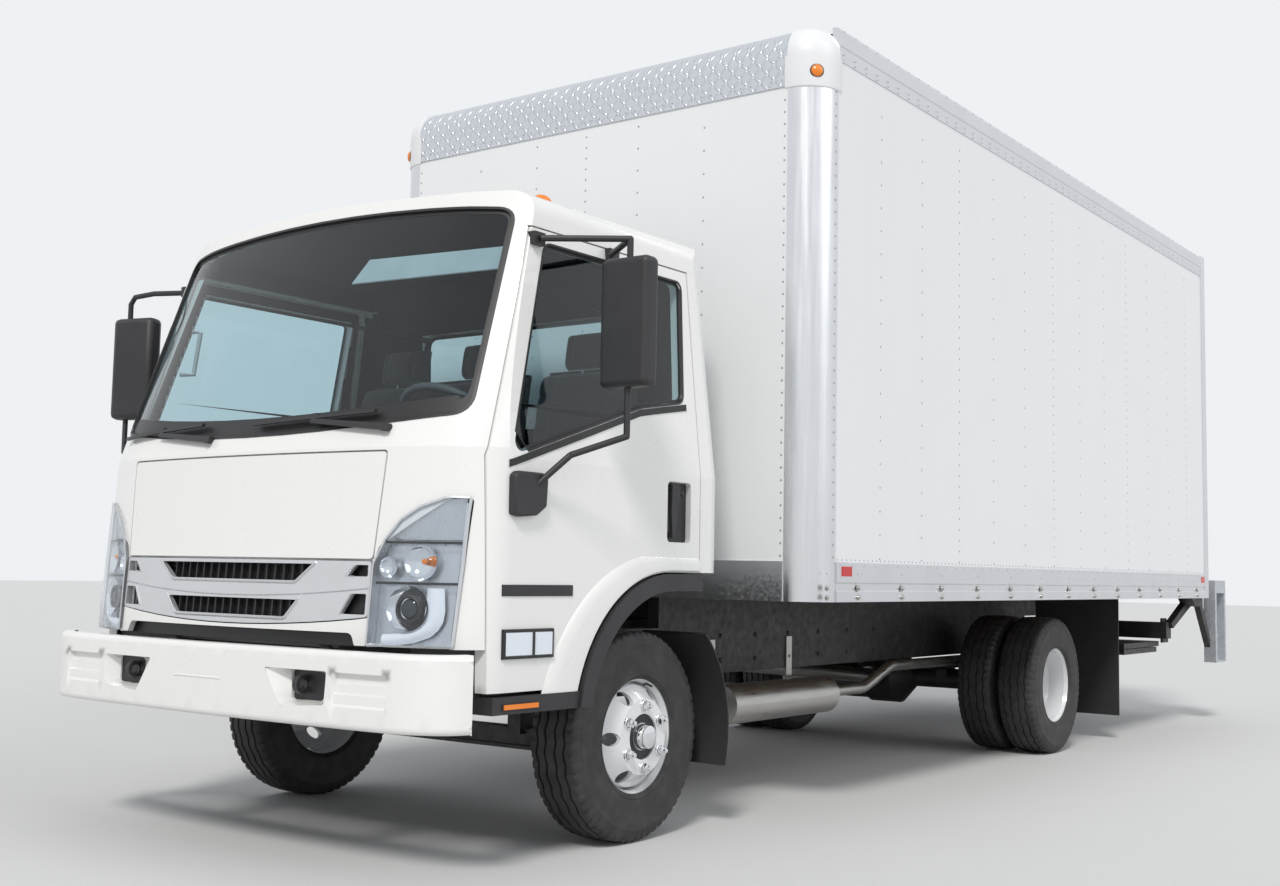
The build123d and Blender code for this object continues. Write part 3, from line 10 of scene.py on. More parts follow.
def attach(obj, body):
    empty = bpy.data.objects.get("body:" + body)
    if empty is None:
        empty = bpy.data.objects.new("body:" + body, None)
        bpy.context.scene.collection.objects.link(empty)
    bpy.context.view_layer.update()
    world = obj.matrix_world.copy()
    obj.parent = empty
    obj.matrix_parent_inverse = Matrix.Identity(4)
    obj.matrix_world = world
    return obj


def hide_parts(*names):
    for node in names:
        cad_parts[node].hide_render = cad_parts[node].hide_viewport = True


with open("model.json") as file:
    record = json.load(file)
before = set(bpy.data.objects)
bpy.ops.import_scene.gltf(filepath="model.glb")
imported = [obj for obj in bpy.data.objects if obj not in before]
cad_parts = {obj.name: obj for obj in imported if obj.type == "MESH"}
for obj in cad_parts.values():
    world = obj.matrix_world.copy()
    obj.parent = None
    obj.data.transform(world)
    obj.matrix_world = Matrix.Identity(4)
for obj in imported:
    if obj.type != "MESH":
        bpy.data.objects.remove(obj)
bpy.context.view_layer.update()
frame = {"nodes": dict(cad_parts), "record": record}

nodes = frame["nodes"]
link_object = bpy.context.scene.collection.objects.link

# Driving sizes, millimetres in the frame of the CAD source, whose y = 0 is the front axle
MID_Y = 2755
AXLE_Z = 381
WHEELBASE = 3810
BODY_SIDE_X, RAIL_X = 1219, 1225
BODY_FRONT_Y, BODY_REAR_Y = 774, 6260
POST_X, POST_Y, POST_R = 1064, 929, 155
RIVET_PITCH, RIVET_START_Y = 406.4, 909.3


def at(x, y, z):
    """A point given in millimetres from the front axle, in metres in the row frame."""
    return Vector((x / 1000, (y - MID_Y) / 1000, z / 1000))


# Material helpers

def add_node(tree, kind, inputs=(), **settings):
    """New node; each input is a value or another node's output."""
    n = tree.nodes.new("ShaderNode" + kind)
    for key, value in settings.items():
        setattr(n, key, value)
    for key, value in dict(inputs).items():
        if isinstance(value, bpy.types.NodeSocket):
            tree.links.new(value, n.inputs[key])
        else:
            n.inputs[key].default_value = value
    return n


class Shader:
    """A principled material with short calls for its nodes."""

    def __init__(self, name, color, roughness=0.5, metallic=0.0, **inputs):
        self.mat = bpy.data.materials.new(name)
        self.mat.use_nodes = True
        self.bsdf = self.mat.node_tree.nodes["Principled BSDF"]
        self.base = (*color, 1)
        inputs.update(Base_Color=self.base, Roughness=roughness, Metallic=metallic)
        for key, value in inputs.items():
            self.bsdf.inputs[key.replace("_", " ")].default_value = value
        self.coord = self.node("TexCoord").outputs["Object"]
        self.normal = None

    def node(self, kind, inputs=(), **settings):
        return add_node(self.mat.node_tree, kind, inputs, **settings)

    def feed(self, socket, value):
        self.mat.node_tree.links.new(value, self.bsdf.inputs[socket])

    def object_coord(self, scale=(1, 1, 1)):
        return self.node("Mapping", {"Scale": scale, "Vector": self.coord}).outputs["Vector"]

    def noise(self, scale, detail=3.0, stretch=(1, 1, 1)):
        return self.node("TexNoise", {"Scale": scale, "Detail": detail, "Roughness": 0.55,
                                      "Vector": self.object_coord(stretch)}).outputs["Fac"]

    def voronoi(self, scale, output="Distance"):
        return self.node("TexVoronoi", {"Scale": scale, "Vector": self.object_coord()}).outputs[output]

    def spread(self, value, low, high, new_low=0.0, new_high=1.0):
        return self.node("MapRange", {"Value": value, "From Min": low, "From Max": high,
                                      "To Min": new_low, "To Max": new_high}).outputs["Result"]

    def math(self, operation, a, b=0.5):
        return self.node("Math", {0: a, 1: b}, operation=operation).outputs[0]

    def axis(self, letter):
        return self.node("SeparateXYZ", {0: self.object_coord()}).outputs[letter]

    def tint(self, fac, color):
        """Mixes another colour over the base colour where fac is 1."""
        socket = self.bsdf.inputs["Base Color"]
        under = socket.links[0].from_socket if socket.is_linked else self.base
        mixed = self.node("Mix", {"A": under, "B": (*color, 1), "Factor": fac}, data_type="RGBA")
        self.feed("Base Color", mixed.outputs["Result"])

    def rough(self, value):
        self.feed("Roughness", value)

    def bump(self, height, strength, distance=0.001):
        n = self.node("Bump", {"Strength": strength, "Distance": distance, "Height": height})
        if self.normal is not None:
            self.mat.node_tree.links.new(self.normal, n.inputs["Normal"])
        self.normal = n.outputs["Normal"]
        self.feed("Normal", self.normal)


def painted(name, color, roughness=0.28, dust=(0.45, 0.42, 0.38), coat=0.5):
    s = Shader(name, color, roughness, Coat_Weight=coat, Coat_Roughness=0.06)
    s.bump(s.noise(260, 2), 0.012, 0.0003)
    low = s.spread(s.axis("Z"), 0.95, 0.45)
    s.tint(s.math("MULTIPLY", s.math("MULTIPLY", low, s.noise(9, 5)), 0.10), dust)
    s.rough(s.spread(s.noise(5, 4), 0.3, 0.75, roughness - 0.02, roughness + 0.03))
    return s.mat


def black_paint(name, color, roughness):
    s = Shader(name, color, roughness)
    s.tint(s.spread(s.noise(14, 6), 0.45, 0.8, 0, 0.35), (0.11, 0.10, 0.09))
    s.rough(s.spread(s.noise(30, 4), 0.3, 0.7, roughness - 0.1, roughness + 0.15))
    s.bump(s.noise(420, 3), 0.18, 0.0005)
    return s.mat


def plastic(name, color, roughness=0.5, grain=900, depth=0.3):
    s = Shader(name, color, roughness)
    s.bump(s.voronoi(grain), depth, 0.0004)
    s.tint(s.spread(s.noise(7, 4), 0.4, 0.9, 0, 0.25), tuple(min(1, c * 2 + 0.02) for c in color))
    return s.mat


def brushed(name, color, roughness, stretch=(1, 1, 1), metallic=1.0):
    s = Shader(name, color, roughness, metallic)
    streak = s.noise(60, 4, stretch)
    s.rough(s.spread(streak, 0.3, 0.7, roughness - 0.08, roughness + 0.1))
    s.tint(s.spread(s.noise(6, 4), 0.35, 0.8, 0, 0.3), tuple(c * 0.82 for c in color))
    s.bump(streak, 0.06, 0.0004)
    return s.mat


def clear_glass(name, tint, roughness=0.0, shine=1.0):
    """Thin glass: a tinted see-through with a mirror on its outer side that grows to the edge."""
    mat = bpy.data.materials.new(name)
    mat.use_nodes = True
    tree = mat.node_tree
    tree.nodes.clear()
    coord = add_node(tree, "TexCoord").outputs["Object"]
    noise = add_node(tree, "TexNoise", {"Scale": 4, "Vector": coord}).outputs["Fac"]
    rough = add_node(tree, "MapRange", {"Value": noise, "To Min": roughness, "To Max": roughness + 0.03})
    inner = add_node(tree, "NewGeometry").outputs["Backfacing"]
    outer = add_node(tree, "MapRange", {"Value": inner, "To Min": shine, "To Max": 0.0})
    edge = add_node(tree, "Fresnel", {"IOR": 1.5}).outputs["Fac"]
    share = add_node(tree, "Math", {0: edge, 1: outer.outputs["Result"]}, operation="MULTIPLY")
    through = add_node(tree, "BsdfTransparent", {"Color": (*tint, 1)})
    gloss = add_node(tree, "BsdfGlossy", {"Color": (1, 1, 1, 1), "Roughness": rough.outputs["Result"]})
    mix = add_node(tree, "MixShader", {"Fac": share.outputs[0], 1: through.outputs[0], 2: gloss.outputs[0]})
    add_node(tree, "OutputMaterial", {"Surface": mix.outputs[0]})
    return mat


def tyre_material():
    s = Shader("tyre_rubber", (0.022, 0.022, 0.023), 0.62)
    s.tint(s.spread(s.noise(18, 6), 0.42, 0.85, 0, 0.4), (0.10, 0.095, 0.09))
    s.bump(s.noise(500, 3), 0.25, 0.0006)
    return s.mat


def tread_plate():
    """Raised lozenges in two directions on bright aluminium."""
    s = Shader("tread_plate", (0.66, 0.68, 0.72), 0.3, 1.0)
    per_metre = 1 / 0.034
    x = s.math("MULTIPLY", s.axis("X"), per_metre)
    along = s.math("MULTIPLY", s.math("SUBTRACT", s.axis("Z"), s.axis("Y")), per_metre)

    def from_middle(value, shift, stretch):
        """Squared distance from the middle of a lozenge."""
        cell = s.math("FRACT", s.math("ADD", s.math("MULTIPLY", value, 0.5), shift))
        away = s.math("ABSOLUTE", s.math("SUBTRACT", cell, 0.5))
        return s.math("POWER", s.math("MULTIPLY", away, stretch), 2.0)

    heights = []
    for turn, shift in ((1, 0.5), (-1, 0.0)):
        slant = s.math("MULTIPLY", along, turn)
        reach = s.math("ADD", from_middle(s.math("ADD", x, slant), shift, 2.4),
                       from_middle(s.math("SUBTRACT", x, slant), shift, 8.5))
        heights.append(s.spread(reach, 1.1, 0.5))
    s.bump(s.math("MAXIMUM", *heights), 0.9, 0.003)
    s.rough(s.spread(s.noise(12, 5), 0.3, 0.7, 0.22, 0.4))
    return s.mat


def sheet_wall(name, color):
    """Painted sheet that bellies a little between the rivet columns."""
    s = Shader(name, color, 0.33, Coat_Weight=0.25, Coat_Roughness=0.1)
    s.bump(s.noise(1.4, 2, (1, 2.5, 0.5)), 0.35, 0.02)
    s.bump(s.noise(180, 2), 0.03, 0.0004)
    s.tint(s.spread(s.noise(3, 6), 0.5, 0.9, 0, 0.10), (0.62, 0.62, 0.60))
    return s.mat


def wood_floor():
    s = Shader("oak_floor", (0.40, 0.27, 0.16), 0.55)
    grain = s.noise(26, 6, (1, 0.06, 1))
    s.tint(s.spread(grain, 0.35, 0.7), (0.24, 0.15, 0.085))
    plank = s.math("LESS_THAN", s.math("FRACT", s.math("MULTIPLY", s.axis("X"), 1 / 0.14)), 0.03)
    s.tint(plank, (0.05, 0.035, 0.025))
    s.bump(grain, 0.2, 0.0008)
    return s.mat


def galvanised():
    s = Shader("galvanised", (0.58, 0.60, 0.63), 0.38, 0.85)
    s.tint(s.spread(s.voronoi(42, "Color"), 0.2, 0.9, 0, 0.6), (0.40, 0.42, 0.46))
    s.rough(s.spread(s.voronoi(42), 0.0, 0.02, 0.30, 0.48))
    return s.mat


def cloth():
    s = Shader("seat_cloth", (0.085, 0.088, 0.095), 0.9, Sheen_Weight=0.4)
    weave = s.math("MULTIPLY", *(s.math("SINE", s.math("MULTIPLY", s.axis(way), 1900)) for way in "XZ"))
    s.bump(weave, 0.3, 0.0006)
    s.tint(s.spread(s.noise(70, 3), 0.4, 0.7, 0, 0.5), (0.05, 0.052, 0.058))
    return s.mat


MATS = {name: maker(name, *settings) for maker, name, *settings in (
    (painted, "cab_white", (0.82, 0.82, 0.80)),
    (painted, "rim_white", (0.78, 0.79, 0.80), 0.22, (0.3, 0.27, 0.24), 0.8),
    (sheet_wall, "body_white", (0.80, 0.81, 0.82)),
    (black_paint, "frame_black", (0.022, 0.022, 0.024), 0.45),
    (black_paint, "cast_iron", (0.055, 0.053, 0.05), 0.7),
    (brushed, "steel", (0.50, 0.49, 0.47), 0.35, (1, 0.15, 1)),
    (brushed, "aluminium", (0.70, 0.71, 0.73), 0.36, (1, 0.05, 1)),
    (brushed, "aluminium_up", (0.72, 0.73, 0.75), 0.3, (1, 1, 0.04)),
    (brushed, "grille_silver", (0.66, 0.67, 0.69), 0.34, (0.04, 1, 1), 0.6),
    (brushed, "chrome", (0.82, 0.83, 0.85), 0.09),
    (brushed, "satin", (0.62, 0.63, 0.65), 0.3, (1, 1, 0.05), 0.8),
    (brushed, "mirror_face", (0.86, 0.88, 0.90), 0.04),
    (brushed, "rivet", (0.42, 0.43, 0.45), 0.4),
    (clear_glass, "window_glass", (0.80, 0.88, 0.90)),
    (clear_glass, "lamp_clear", (0.93, 0.95, 0.97), 0.02, 1.2),
    (plastic, "lamp_amber", (0.85, 0.22, 0.02), 0.15, 160, 0.5),
    (plastic, "lamp_red", (0.55, 0.02, 0.02), 0.15, 160, 0.5),
    (plastic, "lamp_dark", (0.03, 0.035, 0.04), 0.05, 300, 0.0),
    (plastic, "lamp_white", (0.88, 0.90, 0.93), 0.25, 260, 0.1),
    (plastic, "rubber", (0.018, 0.018, 0.018), 0.7, 300, 0.15),
    (plastic, "seal", (0.012, 0.012, 0.013), 0.42, 500, 0.1),
    (plastic, "trim_black", (0.02, 0.02, 0.022), 0.48),
    (plastic, "trim_grey", (0.10, 0.10, 0.105), 0.55, 700, 0.35),
    (plastic, "lining", (0.016, 0.021, 0.036), 0.75, 30, 0.01),
    (plastic, "visor_pale", (0.55, 0.57, 0.58), 0.5, 300, 0.2),
)}
MATS.update(galvanised=galvanised(), wood=wood_floor(), tyre=tyre_material(), seat_cloth=cloth(),
            tread_plate=tread_plate())
OWN_LOOK = {"box_nose": "tread_plate", "box_corner_posts": "aluminium_up", "lift_gear": "frame_black"}
slots = {entry["node"]: entry["material_slot"] for entry in frame["record"]["subparts"]}
for name, obj in nodes.items():
    obj.data.materials.clear()
    obj.data.materials.append(MATS[OWN_LOOK.get(name, slots[name])])


# Geometry helpers: all lengths in millimetres in the CAD source's frame

class Piece:
    """One mesh object put together from several simple forms, in one or more materials."""

    def __init__(self, name, body, *materials):
        self.name, self.body, self.materials = name, body, materials
        self.verts, self.faces, self.slots = [], [], []

    def add(self, verts, faces, mat=0):
        start = len(self.verts)
        self.verts += [Vector(v) for v in verts]
        self.faces += [[start + k for k in face] for face in faces]
        self.slots += [mat] * len(faces)

    def box(self, low, high, mat=0, turn=None, centre=None):
        """Box between two corners, turned about a centre if a rotation is given."""
        xs, ys, zs = zip(low, high)
        verts = [Vector((x, y, z)) for x in xs for y in ys for z in zs]
        if turn:
            verts = [centre + turn @ (v - centre) for v in verts]
        faces = [(0, 1, 3, 2), (4, 6, 7, 5), (0, 4, 5, 1), (2, 3, 7, 6), (0, 2, 6, 4), (1, 5, 7, 3)]
        self.add(verts, faces, mat)

    def slab(self, outline, push, mat=0):
        """Flat outline pushed along a vector into a closed prism."""
        base = [Vector(p) for p in outline]
        n = len(base)
        faces = [list(range(n))[::-1], list(range(n, 2 * n))]
        faces += [[k, (k + 1) % n, n + (k + 1) % n, n + k] for k in range(n)]
        self.add(base + [p + Vector(push) for p in base], faces, mat)

    def patch(self, point, us, vs, mat=0, closed=False):
        """Grid of points point(u, v); closed joins the last u to the first."""
        rows, n = len(us), len(vs)
        faces = []
        for i in range(rows if closed else rows - 1):
            a, b = i * n, (i + 1) % rows * n
            faces += [[a + j, b + j, b + j + 1, a + j + 1] for j in range(n - 1)]
        self.add([point(u, v) for u in us for v in vs], faces, mat)

    def tube(self, points, radius, sides=12, mat=0, flat=1.0):
        """Round bar along points, with closed ends."""
        points = [Vector(p) for p in points]
        normal = (points[1] - points[0]).normalized().orthogonal()
        rings = []
        for k, p in enumerate(points):
            along = (points[min(k + 1, len(points) - 1)] - points[max(k - 1, 0)]).normalized()
            normal = (normal - along * normal.dot(along)).normalized()
            side = along.cross(normal)
            rings.append([p + (normal * cos(turn) * flat + side * sin(turn)) * radius
                          for turn in steps(0, 2 * pi, sides)[:-1]])
        self.patch(lambda i, ring: ring[i], range(sides), rings, mat, closed=True)
        for end in (rings[0], rings[-1]):
            self.add(end, [range(sides)], mat)

    def lathe(self, profile, centre, axis, sides=24, mat=0):
        """Profile of (along, radius) turned about an axis through centre."""
        axis = Vector(axis).normalized()
        side = axis.orthogonal().normalized()
        other = axis.cross(side)

        def point(k, step):
            out = side * cos(2 * pi * k / sides) + other * sin(2 * pi * k / sides)
            return Vector(centre) + axis * step[0] + out * step[1]

        self.patch(point, range(sides), profile, mat, closed=True)

    def rivet(self, centre, normal, radius=5, height=2.5, sides=8, mat=0):
        self.lathe([(0, radius), (height * 0.7, radius * 0.75), (height, 0.3)], centre, normal, sides, mat)

    def nut(self, centre, normal, radius, height):
        profile = [(0, radius), (height * 0.85, radius), (height, radius * 0.85), (height, 0.5)]
        self.lathe(profile, centre, normal, 6)

    def mirrored(self):
        """The same piece on the right side."""
        name, body = (text.replace("_left", "_right") for text in (self.name, self.body))
        other = Piece(name, body, *self.materials)
        other.verts = [Vector((-v.x, v.y, v.z)) for v in self.verts]
        other.faces = [f[::-1] for f in self.faces]
        other.slots = list(self.slots)
        return other

    def join(self, other):
        first = len(self.verts)
        self.verts += other.verts
        self.faces += [[first + k for k in face] for face in other.faces]
        self.slots += other.slots
        return self

    def twin(self):
        """Adds the mirror image to the piece itself."""
        return self.join(self.mirrored())

    def make(self, stands_for=(), bevel=0.0, angle=35):
        mesh = bpy.data.meshes.new(self.name)
        mesh.from_pydata([at(*v) for v in self.verts], [], self.faces)
        for m in self.materials:
            mesh.materials.append(MATS[m])
        mesh.polygons.foreach_set("material_index", self.slots)
        mesh.polygons.foreach_set("use_smooth", [True] * len(self.faces))
        bm = bmesh.new()
        bm.from_mesh(mesh)
        bmesh.ops.remove_doubles(bm, verts=bm.verts, dist=0.00002)
        bmesh.ops.recalc_face_normals(bm, faces=bm.faces)
        bm.to_mesh(mesh)
        bm.free()
        mesh.set_sharp_from_angle(angle=radians(angle))
        obj = bpy.data.objects.new(self.name, mesh)
        link_object(obj)
        if bevel:
            b = obj.modifiers.new("bevel", "BEVEL")
            b.width = bevel / 1000
            b.segments = 2
            b.limit_method = "ANGLE"
            b.angle_limit = radians(40)
        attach(obj, self.body)
        if stands_for:
            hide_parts(*stands_for)
        return obj

    def both(self, stands_for="", **options):
        """Makes the piece and its mirror image; stands_for names the left node without its side."""
        for one, side in ((self, "_left"), (self.mirrored(), "_right")):
            one.make((stands_for + side,) if stands_for else (), **options)


def steps(a, b, n):
    return [a + (b - a) * k / n for k in range(n + 1)]


# The cab's skin, as the CAD source lays it out

COWL_Y, COWL_Z, FRONT_SLOPE, SCREEN_SLOPE = -1088, 1362, 0.067, 0.365
BOW_R, BOW_HALF, SHOULDER_R, SHOULDER_SIN, SHOULDER_COS = 5000, 600, 900, sin(radians(28)), cos(radians(28))
CAB_HALF_W, BELT_Z, ROOF_HALF_W, ROOF_EDGE_Z = 1010, 1335, 915, 2262


def bow(x):
    """How far the cab's front lies behind its middle at a distance x from it."""
    a1 = asin(BOW_HALF / BOW_R)
    c2x, c2y = (BOW_R - SHOULDER_R) * sin(a1), BOW_R - (BOW_R - SHOULDER_R) * cos(a1)
    r3 = (CAB_HALF_W - c2x - SHOULDER_R * SHOULDER_SIN) / (1 - SHOULDER_SIN)
    c3x = c2x + (SHOULDER_R - r3) * SHOULDER_SIN
    c3y = c2y - (SHOULDER_R - r3) * SHOULDER_COS
    x = abs(x)
    if x <= BOW_HALF:
        return BOW_R - sqrt(BOW_R ** 2 - x * x)
    if x <= c2x + SHOULDER_R * SHOULDER_SIN:
        return c2y - sqrt(SHOULDER_R ** 2 - (x - c2x) ** 2)
    return c3y - sqrt(max(r3 ** 2 - (x - c3x) ** 2, 0))


def skin_y(x, z):
    return COWL_Y + max(FRONT_SLOPE * (z - COWL_Z), SCREEN_SLOPE * (z - COWL_Z)) + bow(x)


def skin(x, z, depth=0.0):
    """Point of the cab's front, depth millimetres behind its surface."""
    e = 2.0
    dx = Vector((2 * e, skin_y(x + e, z) - skin_y(x - e, z), 0))
    dz = Vector((0, skin_y(x, z + e) - skin_y(x, z - e), 2 * e))
    inward = dz.cross(dx).normalized()
    if inward.y < 0:
        inward = -inward
    return Vector((x, skin_y(x, z), z)) + inward * depth


def side_x(z):
    return CAB_HALF_W - (CAB_HALF_W - ROOF_HALF_W) * max(0, z - BELT_Z) / (ROOF_EDGE_Z - BELT_Z)


# Outlines, seals and sheets with cut-outs

# Ways to look at the CAD nodes: where the ray for (a, b) starts, and its direction
AIMS = {
    "front": (lambda a, b: (a, -2500, b), Vector((0, 1, 0))),
    "left": (lambda a, b: (1700, a, b), Vector((-1, 0, 0))),
    "inside": (lambda a, b: (300, a, b), Vector((1, 0, 0))),
    "back": (lambda a, b: (a, 730, b), Vector((0, -1, 0))),
    "ahead": (lambda a, b: (a, -100, b), Vector((0, 1, 0))),
    "forward": (lambda a, b: (a, -300, b), Vector((0, -1, 0))),
    "up": (lambda a, b: (a, b, 1500), Vector((0, 0, 1))),
}
trees = {}


def hit(aim, a, b, names):
    """Where the ray meets the named CAD nodes, in millimetres, or None."""
    if names not in trees:
        verts, faces = [], []
        for mesh in (nodes[name].data for name in names):
            first = len(verts)
            verts += [v.co for v in mesh.vertices]
            faces += [[first + i for i in p.vertices] for p in mesh.polygons]
        trees[names] = BVHTree.FromPolygons(verts, faces)
    start, direction = AIMS[aim]
    point = trees[names].ray_cast(at(*start(a, b)), direction)[0]
    return point and Vector((point.x * 1000, point.y * 1000 + MID_Y, point.z * 1000))


def outline(corners, pitch=50):
    """Closed loop through (a, b, radius) corners, rounded and cut into short steps."""
    loop = []
    for k, corner in enumerate(corners):
        before, here, after = (Vector(corners[(k + s) % len(corners)][:2]) for s in (-1, 0, 1))
        r = corner[2]
        if not r:
            loop.append(here)
            continue
        a = here + (before - here).normalized() * r
        b = here + (after - here).normalized() * r
        loop += [a * (1 - t) ** 2 + here * 2 * t * (1 - t) + b * t * t for t in steps(0, 1, 6)]
    fine = []
    for a, b in zip(loop, loop[1:] + loop[:1]):
        parts = max(1, round((b - a).length / pitch))
        fine += [a.lerp(b, i / parts) for i in range(parts)]
    area = sum(a.x * b.y - a.y * b.x for a, b in zip(fine, fine[1:] + fine[:1]))
    return fine if area > 0 else fine[::-1]


def offset(loop, reach):
    """The loop moved outwards by reach, which may be a function of the point."""
    moved = []
    for k, p in enumerate(loop):
        along = (loop[(k + 1) % len(loop)] - loop[k - 1]).normalized()
        moved.append(p + Vector((along.y, -along.x)) * (reach(p) if callable(reach) else reach))
    return moved


def arch(x_from, x_to, half, z, rise, count=8):
    """Points of a shallow arch between two values of x."""
    return [(x, z + rise * (1 - (x / half) ** 2), 0) for x in steps(x_from, x_to, count)]


def seal(name, body, corners, aim, skin_nodes, glass_nodes, wide=8, inner=lambda p: 16):
    """Rubber round a window: a lip on the panel and a band on the glass, inner wide."""
    loop = outline(corners)
    out = -AIMS[aim][1]
    aside = 14
    near, far, close, deep = (
        [hit(aim, *p, names) for p in offset(loop, reach)] for names, reach in
        ((skin_nodes, wide), (skin_nodes, wide + aside), (glass_nodes, -4), (glass_nodes, lambda p: -inner(p))))
    rows = []
    for a, b, c, d in zip(near, far, close, deep):
        if a and b and c and d:
            lip = a + (a - b) * wide / aside
            rows.append([a - out, a + out * 2.5, lip + out * 2.5, c + out * 1.5, d + out * 1.5, d - out])
    piece = Piece(name, body, "seal")
    piece.patch(lambda u, v: rows[u][v], range(len(rows)), range(6), closed=True)
    return piece


def inside(p, loop):
    result = False
    for a, b in zip(loop, loop[1:] + loop[:1]):
        if (a.y > p.y) != (b.y > p.y) and p.x < (b.x - a.x) * (p.y - a.y) / (b.y - a.y) + a.x:
            result = not result
    return result


def sheet(piece, edge, holes, place, thick=0.0, mat=0, pitch=70):
    """Skin with cut-outs; place(a, b, depth) puts its points in space."""
    points, lines = [], []
    for loop in [edge] + holes:
        first = len(points)
        points += loop
        lines += [(first + k, first + (k + 1) % len(loop)) for k in range(len(loop))]
    low = [min(p[i] for p in edge) for i in (0, 1)]
    high = [max(p[i] for p in edge) for i in (0, 1)]
    inner_edge = offset(edge, -pitch * 0.3)
    wide_holes = [offset(h, pitch * 0.3) for h in holes]
    for i in range(1, int((high[0] - low[0]) / pitch) + 1):
        for j in range(1, int((high[1] - low[1]) / pitch) + 1):
            p = Vector((low[0] + i * pitch, low[1] + j * pitch))
            if inside(p, inner_edge) and not any(inside(p, h) for h in wide_holes):
                points.append(p)
    flat, _, triangles = delaunay_2d_cdt(points, lines, [], 0, 0.001)[:3]
    cells = []
    for cell in triangles:
        middle = sum((flat[i] for i in cell), Vector((0, 0))) / 3
        if inside(middle, edge) and not any(inside(middle, h) for h in holes):
            cells.append(cell)
    piece.add([place(p.x, p.y, 0) for p in flat], cells, mat)
    if thick:
        piece.add([place(p.x, p.y, thick) for p in flat], [c[::-1] for c in cells], mat)
        for loop in [edge] + holes:
            piece.patch(lambda u, v: place(*loop[u], v), range(len(loop)), (0, thick), mat, closed=True)


def plaque(piece, y_range, z_range, names, lift, mat=0, count=(8, 4), sink=2):
    """Thin panel that lies on the cab's left side and follows it."""
    edge = min(1.5, lift * 0.5)
    ys, zs = ([low] + steps(low + edge, high - edge, n) + [high] for (low, high), n in zip((y_range, z_range), count))

    def point(y, z):
        border = y in y_range or z in z_range
        return hit("left", y, z, names) + Vector((-sink if border else lift, 0, 0))

    piece.patch(point, ys, zs, mat)


def lining(name, body, aim, us, vs, names, lift, jump):
    """Thin covering on an inner face, left out where there is a window or a step."""
    depth = AIMS[aim][1]
    grid = {(i, j): hit(aim, u, v, names) for i, u in enumerate(us) for j, v in enumerate(vs)}
    used, verts, faces = {}, [], []
    for i in range(len(us) - 1):
        for j in range(len(vs) - 1):
            cell = [(i, j), (i + 1, j), (i + 1, j + 1), (i, j + 1)]
            if not all(grid[c] for c in cell):
                continue
            reach = [grid[c].dot(depth) for c in cell]
            if max(reach) - min(reach) > jump:
                continue
            for c in cell:
                if c not in used:
                    used[c] = len(verts)
                    verts.append(grid[c] - depth * lift)
            faces.append([used[c] for c in cell])
    piece = Piece(name, body, "lining")
    piece.add(verts, faces)
    return piece


# Windows

screen = ([(-905, 1478, 55)] + arch(-700, 700, 905, 1478, -56) + [(905, 1478, 55), (862, 2190, 55)]
          + arch(700, -700, 862, 2190, 40) + [(-862, 2190, 55)])
seal("windscreen_seal", "cab", screen, "front", ("cab_front", "cab_roof", "cab_back"), ("cab_glass",), 9,
     lambda p: 18 + 42 * min(1, max(0, (1540 - p.y) / 60))).make()
rear_window = [(-600, 1560, 60), (600, 1560, 60), (600, 2020, 60), (-600, 2020, 60)]
seal("rear_window_seal", "cab", rear_window, "back", ("cab_back",), ("cab_glass",)).make()
side_window = [(-822, 1338, 32), (-110, 1568, 32), (165, 1614, 32), (205, 2078, 32), (-600, 2078, 32)]
seal("window_seal_left", "door_left", side_window, "left", ("door_left",), ("door_glass_left",), 7,
     lambda p: 12).both()

sill = Piece("window_moulding_left", "door_left", "seal")
belt = [(-835, 1334), (-640, 1397), (-400, 1474), (-110, 1568), (30, 1592), (185, 1617)]
for (y0, z0), (y1, z1) in zip(belt, belt[1:]):
    for k in range(6):
        corners = [hit("left", y0 + (y1 - y0) * t, z0 + (z1 - z0) * t - drop, ("door_left",))
                   for t, drop in ((k / 6, 10), (k / 6, 34), ((k + 1) / 6, 34), ((k + 1) / 6, 10))]
        if all(corners):
            sill.add([p + Vector((x, 0, 0)) for x in (3, -1) for p in corners],
                     [(0, 1, 2, 3), (1, 5, 6, 2), (0, 3, 7, 4)])
sill.both()

# Cab lining, seen through the glass

CAB, ROOF, HEADER = ("cab_back", "cab_roof"), ("cab_roof", "cab_back"), ("cab_roof", "cab_front")
DOOR = ("door_left",)
for name, body, aim, us, vs, names, lift, jump in (
        ("lining_back", "cab", "ahead", steps(-900, 900, 72), steps(1080, 2160, 54), CAB, 2, 40),
        ("lining_roof", "cab", "up", steps(-900, 900, 60), steps(-700, 395, 44), ROOF, 3, 90),
        ("lining_header", "cab", "forward", steps(-840, 840, 40), steps(2150, 2260, 8), HEADER, 3, 80),
        ("lining_rail_left", "cab", "inside", steps(-640, 400, 40), steps(2090, 2200, 8), ROOF, 3, 60),
        ("lining_door_left", "door_left", "inside", steps(-898, 247, 90), steps(640, 2120, 110), DOOR, 2, 60),
        ("lining_side_left", "cab", "inside", steps(255, 420, 8), steps(1080, 2110, 40), ("cab_back",), 2, 40)):
    piece = lining(name, body, aim, us, vs, names, lift, jump)
    piece.both() if name.endswith("_left") else piece.make()


# Seats: crowned cushions with sewn channels on a plain frame

